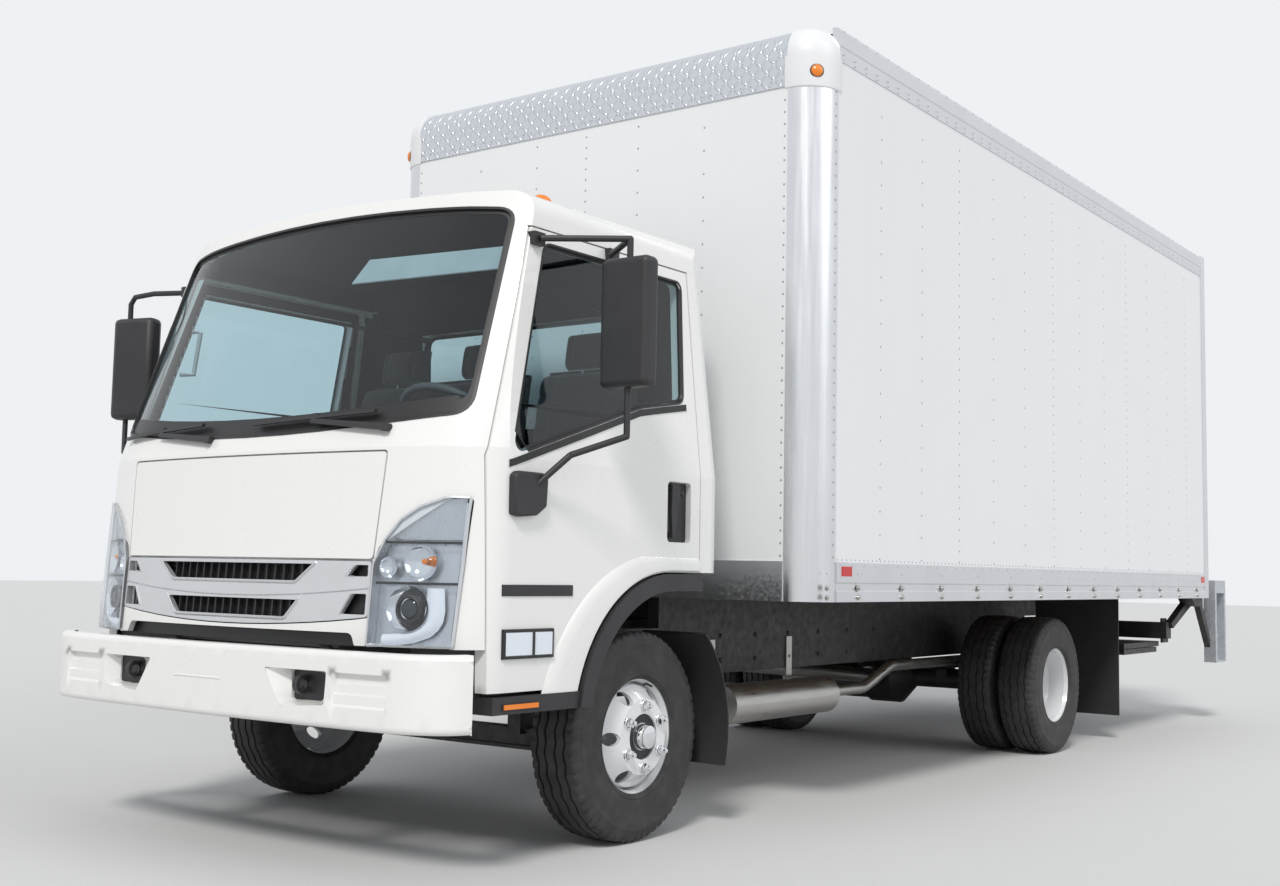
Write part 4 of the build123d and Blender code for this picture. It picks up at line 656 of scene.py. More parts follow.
def pad(piece, centre, across, along, normal, half_w, half_l, thick, crown, channels=()):
    """Cushion whose top is pulled in along its seams."""
    centre = Vector(centre)
    across, along, normal = (Vector(v).normalized() for v in (across, along, normal))
    cuts = [sin(pi / 2 * t) for t in steps(-1, 1, 34)]

    def base(a, b):
        return centre + across * a * half_w + along * b * half_l

    def point(a, b):
        swell = max(0.0, (1 - abs(a) ** 8) * (1 - abs(b) ** 8)) ** 0.4
        height = thick * swell + crown * (1 - a * a) * (1 - b * b)
        for seam in channels:
            height -= 11 * swell * exp(-((b - seam) * half_l / 7) ** 2)
        for seam in (-0.62, 0.62):
            height -= 9 * swell * exp(-((a - seam) * half_w / 7) ** 2)
        return base(a, b) + normal * height

    piece.patch(point, cuts, cuts)
    piece.add([base(a, b) for a, b in ((-1, -1), (1, -1), (1, 1), (-1, 1))], [(3, 2, 1, 0)])


def make_seats():
    under = Piece("seat_frames", "cab", "trim_black", "steel")
    leaning = (1, 0, 0), (0, 92, 580), (0, -580, 92)
    cushions = []

    def cushion(name, *shape):
        cushions.append(Piece(name, "cab", "seat_cloth"))
        pad(cushions[-1], *shape)

    for label, x0, x1, heads in (("driver", 190, 690, (440,)), ("bench", -880, 110, (-630, -140))):
        mid, half = (x0 + x1) / 2, (x1 - x0) / 2
        under.box((x0 + 25, -215, 1066), (x1 - 25, 245, 1225))
        under.slab([(x0 + 20, 258, 1300), (x0 + 20, 330, 1790), (x0 + 20, 306, 1792), (x0 + 20, 236, 1300)],
                   (x1 - x0 - 40, 0, 0))
        cushion("seat_cushion_" + label, (mid, 5, 1222), (1, 0, 0), (0, 1, 0.06), (0, -0.06, 1),
                half, 240, 96, 26, (-0.55, -0.1, 0.35, 0.72))
        cushion("seat_back_" + label, (mid, 262, 1530), *leaning, half - 8, 245, 76, 20, (-0.6, -0.2, 0.2, 0.6))
        for k, x in enumerate(heads):
            cushion(f"head_rest_{label}_{k}", (x, 318, 1865), *leaning, 130, 72, 56, 14)
            for side in (-55, 55):
                under.tube([(x + side, 300, 1740), (x + side, 312, 1850)], 6, 10, 1)
    under.make(("seats",))
    for piece in cushions:
        obj = piece.make(("seats",), angle=70)


make_seats()


# Grille, with the strip and the mouth below it

def opening(points, r=9, pitch=30):
    return outline([(x, z, r) for x, z in points], pitch)


def low_edge(z, x_from, x_to):
    return [(x, z + 37 * (x / 645) ** 2, 0) for x in steps(x_from, x_to, 12)]


GRILLE_PROUD = 2
MOUTHS = ((925, 981, 322, 404), (806, 862, 285, 342))
grille = Piece("grille_front", "cab", "grille_silver", "cab_white", "seal", "satin", "trim_black")
face = outline([(-645, 815, 12)] + low_edge(778, -600, 600)
               + [(645, 815, 12), (645, 992, 12), (-645, 992, 12)], 35)
openings = [opening([(-x0, z0), (x0, z0), (x1, z1), (-x1, z1)]) for z0, z1, x0, x1 in MOUTHS]
for x0, x1, z0, z1 in ((550, 583, 943, 980), (536, 578, 822, 888)):
    openings += [opening([(s * x0, z0), (s * 634, z0), (s * 634, z1), (s * x1, z1)], 6, 20) for s in (1, -1)]
sheet(grille, face, openings, lambda x, z, d: skin(x, z, d - GRILLE_PROUD), 14, 0, 45)
strip = outline([(-645, 724, 6), (-600, 724, 6), (-585, 763, 20), (585, 763, 20), (600, 724, 6), (645, 724, 6),
                 (645, 812, 6)] + low_edge(774, 600, -600) + [(-645, 812, 6)], 35)
sheet(grille, strip, [], skin, 20, 1, 45)
# Painted shade: a flat black sheet 30 mm behind the grille, seen through its openings, stands in for the shade inside
# them
grille.patch(lambda x, z: skin(x, z, 30), steps(-640, 640, 24), steps(722, 988, 6), 2)
for z_low, z_high, x_low, x_high in MOUTHS:
    lip = [(-x_high - 8, z_high + 4), (-x_low - 7, z_low - 4), (-x_low + 6, z_low - 7)]
    lip += [(-x, z) for x, z in lip[::-1]]
    fine = [Vector(a).lerp(Vector(b), t / 8) for a, b in zip(lip, lip[1:]) for t in range(8)]
    grille.tube([skin(*p, -1) for p in fine + lip[-1:]], 7, 10, 3, flat=0.7)
    for x in range(-336, 337, 42):
        if abs(x) < x_high:
            bar = ((x - 3, z_low - 6), (x + 3, z_low - 6), (x + 3, z_high + 6), (x - 3, z_high + 6))
            grille.slab([skin(*p, 14) for p in bar], (0, 16, 0), 4)
for side in (1, -1):
    for line in (((583, 943), (550, 943), (583, 980)), ((536, 822), (578, 888))):
        grille.tube([skin(side * (x - 6), z, -1) for x, z in line], 5, 8, 3, flat=0.7)
grille.tube([skin(x, 872 + 34 * (x / 640) ** 2, -1.5) for x in steps(-640, 640, 40)], 4.5, 8, 3, flat=0.6)
grille.make(("grille",), angle=30)


# Headlamps: bright chambers behind one clear cover

def lamp_place(x, z, depth):
    return skin(x, z, depth - 10)


def height_at(points, x):
    """z on a line of (x, z) points given from left to right."""
    for (x0, z0), (x1, z1) in zip(points, points[1:]):
        if x <= x1:
            return z0 + (z1 - z0) * (x - x0) / (x1 - x0)


def make_headlamps():
    edge = outline([(650, 724, 12), (932, 724, 12), (944, 985, 0), (948, 1150, 0), (952, 1201, 10), (885, 1203, 14),
                    (800, 1170, 0), (740, 1129, 0), (690, 1065, 0), (652, 985, 10)], 30)
    inner = offset(edge, -7)
    lamp = Piece("headlamp_units", "cab", "chrome", "seal", "lamp_dark", "lamp_amber", "lamp_white", "satin")
    sheet(lamp, edge, [], lambda x, z, d: lamp_place(x, z, 44), 0, 5, 50)
    frame_rows = ((edge, 0.5), (inner, -0.5), (inner, 40), (edge, 46))
    lamp.patch(lambda u, row: lamp_place(*row[0][u], row[1]), range(len(edge)), frame_rows, 5, closed=True)

    def dish(x, z, radius, depth_rim, depth_mid):
        """Round reflector open to the front."""
        centre, reach = lamp_place(x, z, depth_mid), depth_mid - depth_rim
        axis = (lamp_place(x, z, 0) - lamp_place(x, z, 40)).normalized()
        lamp.lathe([(0, 1), (reach * 0.12, radius * 0.45), (reach * 0.45, radius * 0.8), (reach, radius)],
                   centre, axis, 28)
        return centre, axis

    # Dipped beam projector in its ring, then the chamber with the flasher bulb
    centre, axis = dish(783, 846, 72, 10, 40)
    lamp.lathe([(2, 44), (24, 42), (26, 36), (20, 33)], centre, axis, 28, 1)
    lamp.lathe([(6, 33), (17, 28), (23, 15), (25, 0.5)], centre, axis, 28, 2)
    dish(815, 990, 56, 12, 38)
    lamp.lathe([(2, 9), (14, 9), (19, 7), (21, 0.5)], lamp_place(822, 995, 36), axis, 20, 3)
    dish(705, 975, 34, 14, 38)
    for z0, z1, x0 in ((1050, 1058, 690), (921, 929, 664)):
        lamp.patch(lambda x, z: lamp_place(x, z, 12), steps(x0, 940, 12), (z0, z1), 1)
    arc = [(700, 1066), (728, 1105), (770, 1146), (830, 1178), (900, 1194), (940, 1194)]
    lamp.patch(lambda x, t: lamp_place(x, 1064 + (height_at(arc, x) - 1064) * t, 20 + 10 * (1 - t)),
               steps(706, 938, 20), steps(0, 1, 6), 5)
    bar = (((701, 728), (697, 764)), ((760, 732), (730, 766)), ((810, 740), (765, 770)), ((857, 758), (790, 777)),
           ((880, 780), (815, 790)), ((893, 805), (830, 806)), ((897, 840), (835, 826)), ((893, 880), (838, 870)),
           ((890, 911), (838, 911)))
    lamp.patch(lambda ends, t: lamp_place(*Vector(ends[0]).lerp(Vector(ends[1]), t), 24 - 10 * sin(pi * t)),
               bar, steps(0, 1, 6), 4)
    lamp.tube([lamp_place(x, z, 12) for x, z in ((926, 745), (936, 985), (940, 1180))], 5, 8)
    lamp.twin().make(("headlamps",), angle=40)
    cover = Piece("headlamp_covers", "cab", "lamp_clear")
    sheet(cover, offset(edge, -5), [], lamp_place, 2.5, 0, 30)
    cover.twin().make(("headlamps",), angle=60)


make_headlamps()


# Mirrors: the left head gets its glass, the right one stands further forward

def make_mirrors():
    glass = Piece("mirror_glass_left", "door_left", "mirror_face")
    glass.box((1124, -447, 1735), (1296, -444.5, 2005))
    glass.box((1124, -447, 1600), (1296, -444.5, 1720))
    glass.make()
    arm = Piece("mirror_right_arm", "door_right", "trim_black")
    for route in (((-940, -650, 2085), (-1120, -690, 2092), (-1222, -708, 2084), (-1245, -711, 2055),
                   (-1245, -711, 1972)),
                  ((-1000, -745, 1215), (-1110, -700, 1330), (-1245, -711, 1430), (-1245, -711, 1586))):
        arm.tube(route, 11, 14)
        x, y, z = -side_x(route[0][2]), *route[0][1:]
        arm.box((x - 22, y - 28, z - 22), (x + 30, y + 28, z + 22))
    arm.make(("mirror_right",), bevel=4)
    turned = {"turn": Matrix.Rotation(radians(15), 3, "Z"), "centre": Vector((-1205, -700, 1779))}
    head = Piece("mirror_right_head", "door_right", "trim_black")
    head.box((-1305, -737, 1566), (-1105, -663, 1992), **turned)
    head.make(("mirror_right",), bevel=22)
    face = Piece("mirror_glass_right", "door_right", "mirror_face")
    face.box((-1292, -663, 1712), (-1118, -661, 1976), **turned)
    face.box((-1292, -663, 1582), (-1118, -661, 1698), **turned)
    face.make(("mirror_right",))


make_mirrors()

OUTWARD = (1, 0, 0)


def make_door_details():
    lamp = Piece("side_flasher_left", "door_left", "seal", "lamp_white", "lamp_clear")
    plaque(lamp, (-852, -602), (690, 786), DOOR, 9)
    plaque(lamp, (-840, -614), (701, 775), DOOR, 12, 1, sink=-8)
    plaque(lamp, (-843, -611), (698, 778), DOOR, 16, 2, sink=-8)
    plaque(lamp, (-716, -706), (699, 777), DOOR, 17, 0, (2, 4), sink=-8)
    lamp.both()
    plate = Piece("door_plate_left", "door_left", "trim_black")
    plaque(plate, (-855, -503), (889, 927), DOOR, 4)
    plate.both()
    block = Piece("mirror_foot_left", "door_left", "trim_black")
    foot = ((-832, 1150), (-800, 1143), (-720, 1150), (-673, 1180), (-668, 1270), (-690, 1290), (-815, 1290),
            (-832, 1275))
    block.slab([(1000, y, z) for y, z in foot], (36, 0, 0))
    block.both(bevel=7)
    tray = Piece("door_handle_left", "door_left", "seal", "trim_black")
    tray.box((987, 42, 1087), (989, 188, 1306))
    grip = ((60, 1296), (104, 1300), (112, 1270), (92, 1180), (84, 1108), (64, 1100), (56, 1200))
    tray.slab([(1004, y, z) for y, z in grip], (14, 0, 0), 1)
    tray.box((988, 60, 1276), (1010, 100, 1298), 1)
    tray.box((988, 60, 1102), (1010, 84, 1122), 1)
    tray.lathe([(0, 12), (4, 12), (5, 10), (5, 0.5)], (989, 160, 1270), OUTWARD, 20, 1)
    tray.both(bevel=1.5)
    marker = Piece("sill_marker_left", "cab", "seal", "lamp_amber")
    plaque(marker, (-856, -676), (530, 554), ("arch_flares",), 3, 0, (6, 2))
    plaque(marker, (-850, -682), (533, 551), ("arch_flares",), 6, 1, (6, 2))
    marker.both()


make_door_details()

# Small cab pieces seen through the windscreen

trim = Piece("screen_trim", "cab", "visor_pale", "trim_black")
trim.slab([(242, -835, 1971), (294, -801, 2058), (847, -705, 2061), (853, -732, 1980)], (0, 6, -3))
for side in (1, -1):
    pillar = ((892, -715, 1920), (924, -701, 1913), (946, -735, 1772), (918, -737, 1782))
    trim.slab([(x * 0.97 * side, y, z) for x, y, z in pillar], (0, 8, 0), 1)
trim.tube([(-838, -700, 1905), (-820, -672, 1905), (-830, -690, 1731), (-842, -745, 1727)], 9, 10)
trim.make(bevel=2)


# Wheels

BOLT_R, BOLTS = 111, 6
FRONT_FACE_X, REAR_FACE_X = 948, 844


def around(y, radius, count, turn=0):
    """Places on a circle round an axle: y and z."""
    angles = (radians(360 / count * k + turn) for k in range(count))
    return [(y + radius * cos(angle), AXLE_Z + radius * sin(angle)) for angle in angles]


def wheel_nuts(piece, x, y):
    for spot in around(y, BOLT_R, BOLTS, 30):
        piece.lathe([(0, 22), (5, 21), (7, 17)], (x, *spot), OUTWARD, 20)
        piece.nut((x + 5, *spot), OUTWARD, 17, 20)
        piece.lathe([(24, 9), (36, 9), (38, 7), (38, 0.4)], (x, *spot), OUTWARD, 12)


front_nuts = Piece("front_wheel_nuts_left", "wheel_front_left", "chrome", "seal")
wheel_nuts(front_nuts, FRONT_FACE_X, 0)
# Painted shade: the flat black ring from 50 to 84 mm round the hub cap fills the rim's centre bore in place of its
# shaded depth
for profile, x, mat in (([(0, 46), (10, 45), (20, 43), (24, 41), (26, 30)], FRONT_FACE_X - 9, 0),
                        ([(0, 84), (1.5, 84), (1.5, 50), (0, 50)], FRONT_FACE_X - 9, 1),
                        ([(0, 41), (4, 41), (6, 36), (6, 0.5)], 972, 0)):
    front_nuts.lathe(profile, (x, 0, AXLE_Z), OUTWARD, 32, mat)
front_nuts.tube([(900, 60, AXLE_Z + 180), (915, 62, AXLE_Z + 184), (940, 60, AXLE_Z + 176)], 4, 8, 1)
front_nuts.both()
rear_nuts = Piece("rear_wheel_nuts_left", "wheel_rear_left", "chrome", "cast_iron")
wheel_nuts(rear_nuts, REAR_FACE_X, WHEELBASE)
rear_nuts.lathe([(84, 69), (90, 66), (94, 56), (95, 0.5)], (834, WHEELBASE, AXLE_Z), OUTWARD, 28, 1)
for spot in around(WHEELBASE, 54, 8):
    rear_nuts.nut((929, *spot), OUTWARD, 8, 7)
rear_nuts.both()


def tyre(name, body, middles, y, stands_for):
    """Tyre with zigzag grooves, shoulder blocks and rings on its sides."""
    piece = Piece(name, body, "tyre")
    half = [(92, 205), (98, 216), (104, 222), (102, 226), (106.5, 262), (107.5, 300), (105, 330), (105.8, 332),
            (105, 334), (101, 352), (97, 364), (92, 372), (86, 376.5)]
    rows = [(x, r, False) for x, r in half]
    for groove in (60, 22):
        for side, drop in ((5, 0), (3.4, 8.5), (-3.4, 8.5), (-5, 0)):
            x = groove + side
            rows.append((x, AXLE_Z - 0.0006 * x * x - drop, True))
    rows += [(-x, r, zigzag) for x, r, zigzag in rows[::-1]]
    count = 360
    for middle in middles:
        def point(u, row):
            x, r, zigzag = row
            if zigzag:
                x += 4 * (abs((u / 6) % 2 - 1) * 2 - 1)
            elif abs(x) > 85 and r > 340 and u % 6 >= 4:
                r -= 6
            angle = 2 * pi * u / count
            return Vector((middle + x, y + r * cos(angle), AXLE_Z + r * sin(angle)))

        piece.patch(point, range(count), rows, closed=True)
    piece.both(stands_for, angle=32)


tyre("front_tread_left", "wheel_front_left", (827,), 0, "front_tyre")
tyre("rear_tread_left", "wheel_rear_left", (713, 955), WHEELBASE, "rear_tyres")


# Van body: rivets, bolts, lamps

def body_rivets():
    wall = Piece("wall_rivets_left", "chassis", "rivet")
    for k in range(13):
        y = RIVET_START_Y + RIVET_PITCH * k
        x = BODY_SIDE_X if y > POST_Y else POST_X + sqrt(POST_R ** 2 - (POST_Y - y) ** 2)
        pitch = 50.8 if k % 3 == 0 else 101.6
        for i in range(int(2030 / pitch) + 1):
            wall.rivet((x, y, 1048 + i * pitch), OUTWARD, 5, 2.2)
    wall.both()
    rail = Piece("rail_bolts_left", "chassis", "steel", "rivet")
    for y in [BODY_FRONT_Y + 70] + [BODY_FRONT_Y + 335 + RIVET_PITCH * k for k in range(13)]:
        for z in (886, 924):
            rail.lathe([(0, 13), (2, 13), (3, 9), (9, 8.5), (10, 6), (10, 0.4)], (RAIL_X, y, z), OUTWARD, 12)
        rail.rivet((RAIL_X, y, 982), OUTWARD, 4.5, 2, 8, 1)
    for i in range(138):
        rail.rivet((BODY_SIDE_X, 945 + 38 * i, 1039), OUTWARD, 4, 2, 6, 1)
    for i in range(52):
        for z in (1018, 3128, 3150, 3250):
            rail.rivet((RAIL_X, 960 + RIVET_PITCH / 4 * i, z), OUTWARD, 4, 2, 8, 1)
    rail.both()
    front = Piece("front_rivets", "chassis", "rivet", "steel")
    for x, pitch in ((0, 50), (-295, 100), (295, 100), (-649, 102), (649, 102), (-1051, 51), (1051, 51)):
        for i in range(int(1920 / pitch) + 1):
            front.rivet((x, BODY_FRONT_Y, 1050 + i * pitch), (0, -1, 0), 5, 2.2)
    for i in range(42):
        front.rivet((-1040 + i * 50.7, 768, 3022), (0, -1, 0), 4.5, 2, 8, 1)
    front.make()


body_rivets()


def body_lamps():
    lamps = Piece("body_lamps", "chassis", "lamp_red", "lamp_amber", "seal")
    corner_lamps = [(x, z, r) for x in (-1193, 1193) for z, r in ((1097, 27), (1177, 27), (3196, 24))]
    for x, z, r in corner_lamps + [(x, 3196, 24) for x in (-300, 0, 300)]:
        lamps.lathe([(0, r), (8, r), (9, r - 3)], (x, BODY_REAR_Y, z), (0, 1, 0), 28, 2)
        lamps.lathe([(8, r - 3), (11, r - 6), (14, 0.5)], (x, BODY_REAR_Y, z), (0, 1, 0), 28)
    half = Piece("body_lamps_left", "chassis")
    for y0, y1 in ((975, 1052), (6090, 6150)):
        half.box((1224, y0, 972), (1229, y1, 1012))
    diagonal = POST_R * sin(radians(45))
    corner, axis = (POST_X + diagonal, POST_Y - diagonal, 3050), (1, -1, 0)
    half.lathe([(-2, 30), (6, 30), (8, 27)], corner, axis, 24, 2)
    half.lathe([(6, 26), (14, 23), (19, 14), (21, 0.5)], corner, axis, 24, 1)
    lamps.join(half.twin()).make(("box_lamps",))


body_lamps()

# White feet of the cast corner caps, round the tops of the posts

skirt = Piece("cap_skirt_left", "chassis", "body_white")
rows = [(z, POST_R + proud) for z, proud in ((2985, 0), (2987, 5), (2994, 7), (3100, 7), (3112, 9), (3119, 9))]
skirt.patch(lambda angle, row: Vector((POST_X + row[1] * cos(angle), POST_Y - row[1] * sin(angle), row[0])),
            steps(radians(-4), radians(94), 24), rows)
skirt.both()


# Front bumper: rounded ends, stepped pockets and slanted trays round the towing eyes

def bumper_curve():
    """Half of the bumper's front line as fine points, with the run along it."""
    knots = [Vector(p) for p in ((-60, -1209.8), (0, -1210), (430, -1200), (834, -1178), (950, -1138), (1018, -1085),
                                 (1048, -1018), (1050, -990))]
    fine = []
    for p0, p1, p2, p3 in zip(knots, knots[1:], knots[2:], knots[3:]):
        for t in steps(0, 1, 12)[:-1]:
            fine.append(0.5 * (2 * p1 + (p2 - p0) * t + (2 * p0 - 5 * p1 + 4 * p2 - p3) * t * t
                               + (3 * p1 - p0 - 3 * p2 + p3) * t ** 3))
    fine.append(knots[-2])
    run = [0.0]
    for a, b in zip(fine, fine[1:]):
        run.append(run[-1] + (b - a).length)
    return fine, run


CURVE, RUN = bumper_curve()
BUMPER_LOW, BUMPER_HIGH, BUMPER_ROUND = 490, 692, 20


def bumper_at(s, z, depth=0.0):
    """Point of the bumper at a run s from its middle, depth millimetres behind its face."""
    side, s = (1, s) if s >= 0 else (-1, -s)
    k = min(max(1, sum(1 for r in RUN if r < s)), len(RUN) - 1)
    t = (s - RUN[k - 1]) / (RUN[k] - RUN[k - 1])
    along = (CURVE[k] - CURVE[k - 1]).normalized()
    p = CURVE[k - 1].lerp(CURVE[k], t) + Vector((-along.y, along.x)) * depth
    return Vector((p.x * side, p.y, z))


def rays(loop, count=60):
    """Where even rays from the loop's middle cross it."""
    middle = sum(loop, Vector((0, 0))) / len(loop)
    spots = []
    for k in range(count):
        way = Vector((cos(2 * pi * k / count), sin(2 * pi * k / count)))
        for a, b in zip(loop, loop[1:] + loop[:1]):
            ab, am = b - a, a - middle
            det = ab.x * way.y - way.x * ab.y
            if abs(det) > 1e-9:
                t, u = (ab.x * am.y - am.x * ab.y) / det, (way.x * am.y - way.y * am.x) / det
                if t > 0 and -0.001 <= u <= 1.001:
                    best = t
        spots.append(middle + way * best)
    return spots


def make_bumper():
    end = RUN[-1]
    piece = Piece("bumper_skin", "chassis", "cab_white", "seal", "frame_black")
    edge = opening([(-end, BUMPER_LOW), (end, BUMPER_LOW), (end, BUMPER_HIGH), (-end, BUMPER_HIGH)], 0)
    trays, pockets = [], []
    for side in (1, -1):
        outer = opening([(side * x, z) for x, z in ((302, 646), (588, 646), (580, 541), (384, 526))], 12)
        inner = opening([(side * x, z) for x, z in ((389, 640), (544, 640), (544, 548), (394, 546))], 10)
        trays.append((outer, inner))
        pockets.append(opening([(side * x, z) for x, z in ((613, 540), (838, 540), (838, 645), (613, 645))], 0))
    sheet(piece, edge, [outer for outer, inner in trays] + pockets, bumper_at, 0, 0, 45)
    for outer, inner in trays:
        rows = ((rays(outer), 0), (rays(inner), 40), (rays(inner), 52))
        piece.patch(lambda k, row: bumper_at(*row[0][k], row[1]), range(60), rows, closed=True)
    xs = [613, 618] + steps(640, 815, 4) + [833, 838]
    floor = ((645, 0), (643, 20), (616, 19), (611, 13), (583, 12), (578, 6), (548, 5), (540, 0))
    for side in (1, -1):
        piece.patch(lambda x, row: bumper_at(side * x, row[0], 0 if x in (613, 838) else row[1]), xs, floor)
    rolled = [(a, BUMPER_ROUND * (1 - cos(a))) for a in steps(0, pi / 2, 6)]
    section = [(BUMPER_HIGH + BUMPER_ROUND * sin(a), depth) for a, depth in rolled] + [(712, 44)]
    for rows in (section, [(BUMPER_LOW + BUMPER_HIGH - z, depth) for z, depth in section]):
        piece.patch(lambda s, row: bumper_at(s, *row), steps(-end, end, 90), rows)
    for s in (-end, end):
        piece.patch(lambda z, d: bumper_at(s, z, d), (470, 490, 692, 712), (0, 12))
    piece.tube([bumper_at(s, 597 - (2 if abs(s + 38) > 118 else 0), 1.5) for s in steps(-162, 86, 16)], 4.5, 8)
    half = Piece("bumper_left", "chassis")
    half.box((355, -1130, 545), (425, -965, 625), 2)
    # Painted shade: a flat black plate behind each tray's inner opening stands in for the dark hole there
    half.box((375, -1150, 535), (560, -1147, 652), 1)
    half.lathe([(-10, 16), (-10, 30), (10, 30), (10, 16), (-10, 16)], (445, -1168, 597), OUTWARD, 24, 2)
    half.box((435, -1142, 572), (455, -1100, 622), 2)
    piece.join(half.twin()).make(("front_bumper",), angle=28)


make_bumper()


# Rear: latch plate with its bar and handle, the slats' rivets, the door's bottom seal and the frame's rivets

def make_rear():
    rear = Piece("rear_hardware", "chassis", "galvanised", "steel", "rivet", "seal")
    rear.box((-70, 6242, 1050), (70, 6248, 1150))
    rear.box((-18, 6248, 1062), (18, 6262, 1138), 1)
    rear.tube([(-40, 6250, 1085), (-40, 6266, 1085), (40, 6266, 1085), (40, 6250, 1085)], 6, 10, 1)
    rear.box((-55, 6236, 1006), (55, 6250, 1040))
    rear.box((-1158, 6240, 1003), (1158, 6247, 1016), 3)
    for x in (-1120, -560, 560, 1120):
        for z in range(1050, 3090, 262):
            for dz in (-30, 30):
                rear.rivet((x, 6242, z + dz), (0, 1, 0), 6, 2.5, 8, 2)
    for x in (-1193, 1193):
        for z in range(1260, 3081, 140):
            rear.rivet((x, BODY_REAR_Y, z), (0, 1, 0), 5, 2.2, 8, 2)
    rear.make()


make_rear()


# Bolts along the frame rails, whose outer faces stand at x = 425, and flat dark discs as painted shade for the rails'
# holes

FRAME_X = 425
bolts = Piece("frame_bolts_left", "chassis", "cast_iron")
for y in range(700, 4601, 300):
    for z in (580, 690):
        if abs(y - WHEELBASE) >= 260:
            bolts.nut((FRAME_X, y, z), OUTWARD, 10, 8)
            bolts.lathe([(0, 14), (2, 14), (2, 9)], (FRAME_X, y, z), OUTWARD, 12)
bolts.both()
# Painted shade: each hole is a flat dark disc on the rail's face, standing in for the shade inside the hole
holes = Piece("rail_holes_left", "chassis", "seal")
for y in range(680, 4797, 84):
    for z in (620, 650):
        holes.lathe([(0.4, 9), (0.4, 0.3)], (FRAME_X, y, z), OUTWARD, 12)
holes.both()


def arch_band():
    """Raised band of the door round the wheel arch."""
    low, mid, top = Vector((-652, 571)), Vector((-452, 872)), Vector((-118, 1030))
    a, b = mid - low, top - low
    centre = low + Vector((b.y * a.length_squared - a.y * b.length_squared,
                           a.x * b.length_squared - b.x * a.length_squared)) / (2 * (a.x * b.y - a.y * b.x))
    radius = (low - centre).length
    start, end = (atan2(p.y - centre.y, p.x - centre.x) for p in (low, top))

    def arc(middle, radius, start, end):
        return [Vector(middle) + Vector((cos(turn), sin(turn))) * radius for turn in steps(start, end, 24)]

    outer = arc(centre, radius, start, end) + [Vector((y, 1030)) for y in (60, 244)]
    inner = arc((60, 431), 550, radians(166), radians(97)) + [Vector((y, 981)) for y in (60, 244)]
    piece = Piece("arch_band_left", "door_left", "cab_white")
    across = ((0, -1), (0.02, 1), (0.3, 8), (0.42, 9), (0.98, 9), (1, -1))

    def point(k, row):
        t, lift = row
        return Vector((CAB_HALF_W + lift, *outer[k].lerp(inner[k], t)))

    piece.patch(point, range(len(outer)), across)
    for k in (0, len(outer) - 1):
        piece.add([point(k, row) for row in across], [range(len(across))])
    piece.both(angle=50)


arch_band()
top_trim = Piece("lining_back_top", "cab", "lining")
top_trim.patch(lambda x, row: Vector((x, row[0], row[1] - 34 * (x / 900) ** 2)), steps(-865, 865, 24),
               ((352, 2095), (347, 2150), (322, 2196), (262, 2226)))
top_trim.make()

# Two beacons with round domes and three small marker lamps on the cab roof

RING, DOME = ((0.38, 1), (0.42, 0.95)), ((0.42, 0.94), (0.62, 0.9), (0.8, 0.72), (0.94, 0.42))
lamps = Piece("roof_lamp_domes", "cab", "lamp_amber", "seal")
for x, y, radius, base, height in ((750, -411, 42, 2256, 60), (-750, -411, 42, 2256, 60), (320, -684, 20, 2262, 34),
                                   (-320, -684, 20, 2262, 34), (0, -700, 20, 2262, 36)):
    ring, dome = ([(height * up, radius * wide) for up, wide in profile] for profile in (RING, DOME))
    lamps.lathe([(-14, radius)] + ring, (x, y, base), (0, 0, 1), 32, 1)
    lamps.lathe(dome + [(height, 0.5)], (x, y, base), (0, 0, 1), 32)
lamps.make(("cab_lamps",), angle=50)

# Camera: solved from the photograph by the sizes that are known on the object

LENS = 41.30
CAMERA_AT = (4121.8, -4350.1, 976.5)
YAW, PITCH, ROLL = 36.454, 4.994, 1.0993


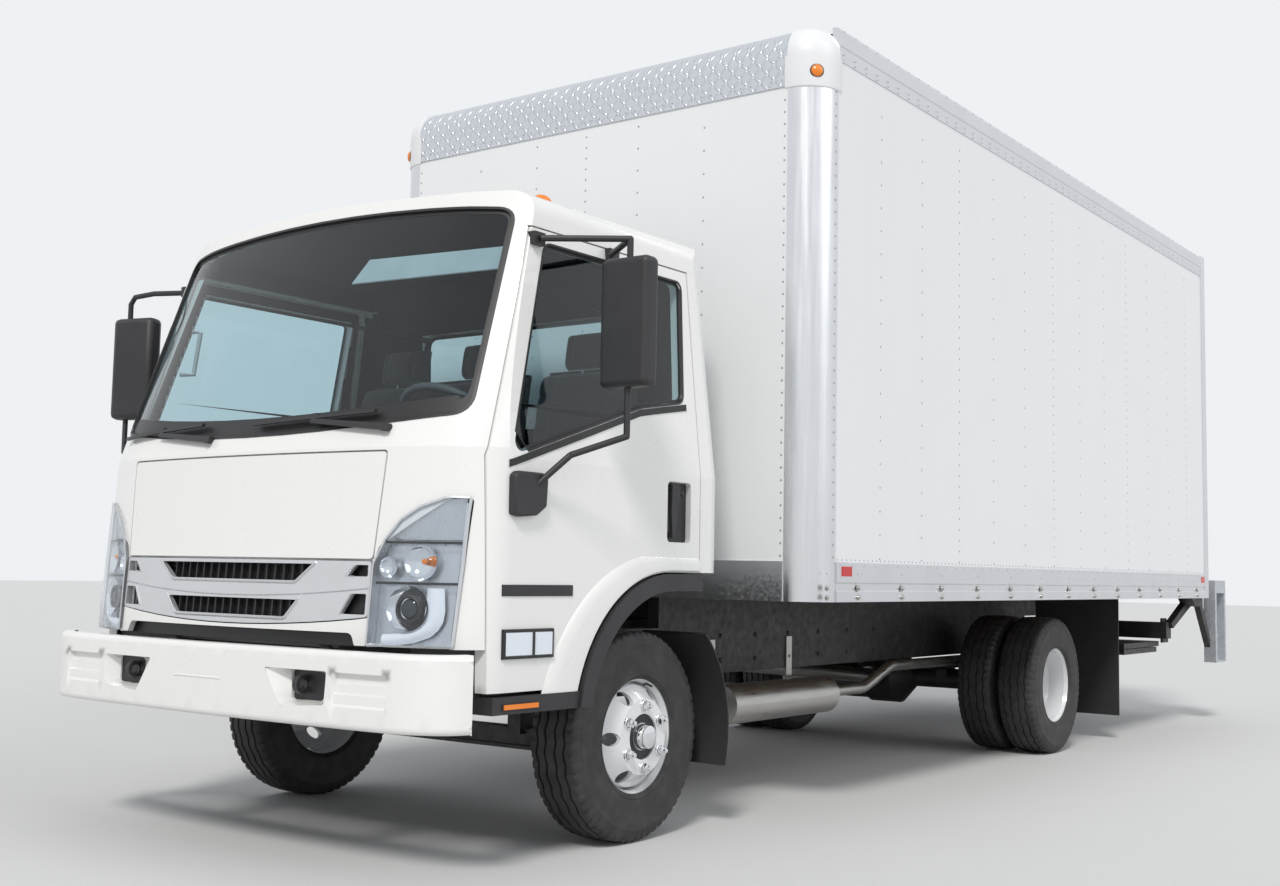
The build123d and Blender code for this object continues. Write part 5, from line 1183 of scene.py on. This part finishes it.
def make_camera():
    yaw, pitch, roll = radians(YAW), radians(PITCH), radians(ROLL)
    look = Vector((-sin(yaw) * cos(pitch), cos(yaw) * cos(pitch), sin(pitch)))
    level_right = look.cross(Vector((0, 0, 1))).normalized()
    level_up = level_right.cross(look)
    right_dir = cos(roll) * level_right + sin(roll) * level_up
    up_dir = -sin(roll) * level_right + cos(roll) * level_up
    data = bpy.data.cameras.new("camera")
    data.lens = LENS
    data.sensor_width = 36
    data.sensor_fit = "HORIZONTAL"
    data.clip_end = 200
    cam = bpy.data.objects.new("camera", data)
    link_object(cam)
    turn = Matrix((right_dir, up_dir, -look)).transposed().to_4x4()
    cam.matrix_world = Matrix.Translation(at(*CAMERA_AT)) @ turn
    bpy.context.scene.camera = cam


def make_world():
    """Soft light from everywhere, and a pale backdrop where the camera, gloss or glass looks at it."""
    world = bpy.data.worlds.new("world")
    bpy.context.scene.world = world
    world.use_nodes = True
    tree = world.node_tree
    tree.nodes.clear()
    path = add_node(tree, "LightPath").outputs
    seen = add_node(tree, "Math", {0: path["Is Camera Ray"], 1: path["Is Glossy Ray"]}, operation="MAXIMUM")
    seen = add_node(tree, "Math", {0: seen.outputs[0], 1: path["Is Transmission Ray"]}, operation="MAXIMUM")
    light = add_node(tree, "Background", {"Color": (0.93, 0.96, 1.0, 1), "Strength": 0.55})
    backdrop = add_node(tree, "Background", {"Color": (0.86, 0.88, 0.90, 1), "Strength": 1.0})
    mix = add_node(tree, "MixShader", {"Fac": seen.outputs[0], 1: light.outputs[0], 2: backdrop.outputs[0]})
    add_node(tree, "OutputWorld", {"Surface": mix.outputs[0]})


def sun(name, direction, strength, angle, color):
    data = bpy.data.lights.new(name, "SUN")
    data.energy = strength
    data.angle = radians(angle)
    data.color = color
    lamp = bpy.data.objects.new(name, data)
    link_object(lamp)
    lamp.rotation_mode = "QUATERNION"
    lamp.rotation_quaternion = Vector(direction).to_track_quat("-Z", "Y")


def make_floor():
    mesh = bpy.data.meshes.new("floor")
    corners = [(-60, -60, 0), (60, -60, 0), (60, 60, 0), (-60, 60, 0)]
    mesh.from_pydata(corners, [], [(0, 1, 2, 3)])
    floor = bpy.data.objects.new("floor", mesh)
    link_object(floor)
    s = Shader("floor", (0.66, 0.66, 0.655), 0.85)
    s.tint(s.spread(s.noise(2.0, 5), 0.3, 0.8, 0, 0.15), (0.60, 0.60, 0.595))
    mesh.materials.append(s.mat)


make_camera()
make_world()
make_floor()
sun("key", (-0.35, 0.75, -0.8), 1.9, 12, (1.0, 0.98, 0.95))
sun("fill", (-0.9, -0.1, -0.55), 0.55, 40, (0.95, 0.97, 1.0))
bpy.context.scene.view_settings.view_transform = "Standard"
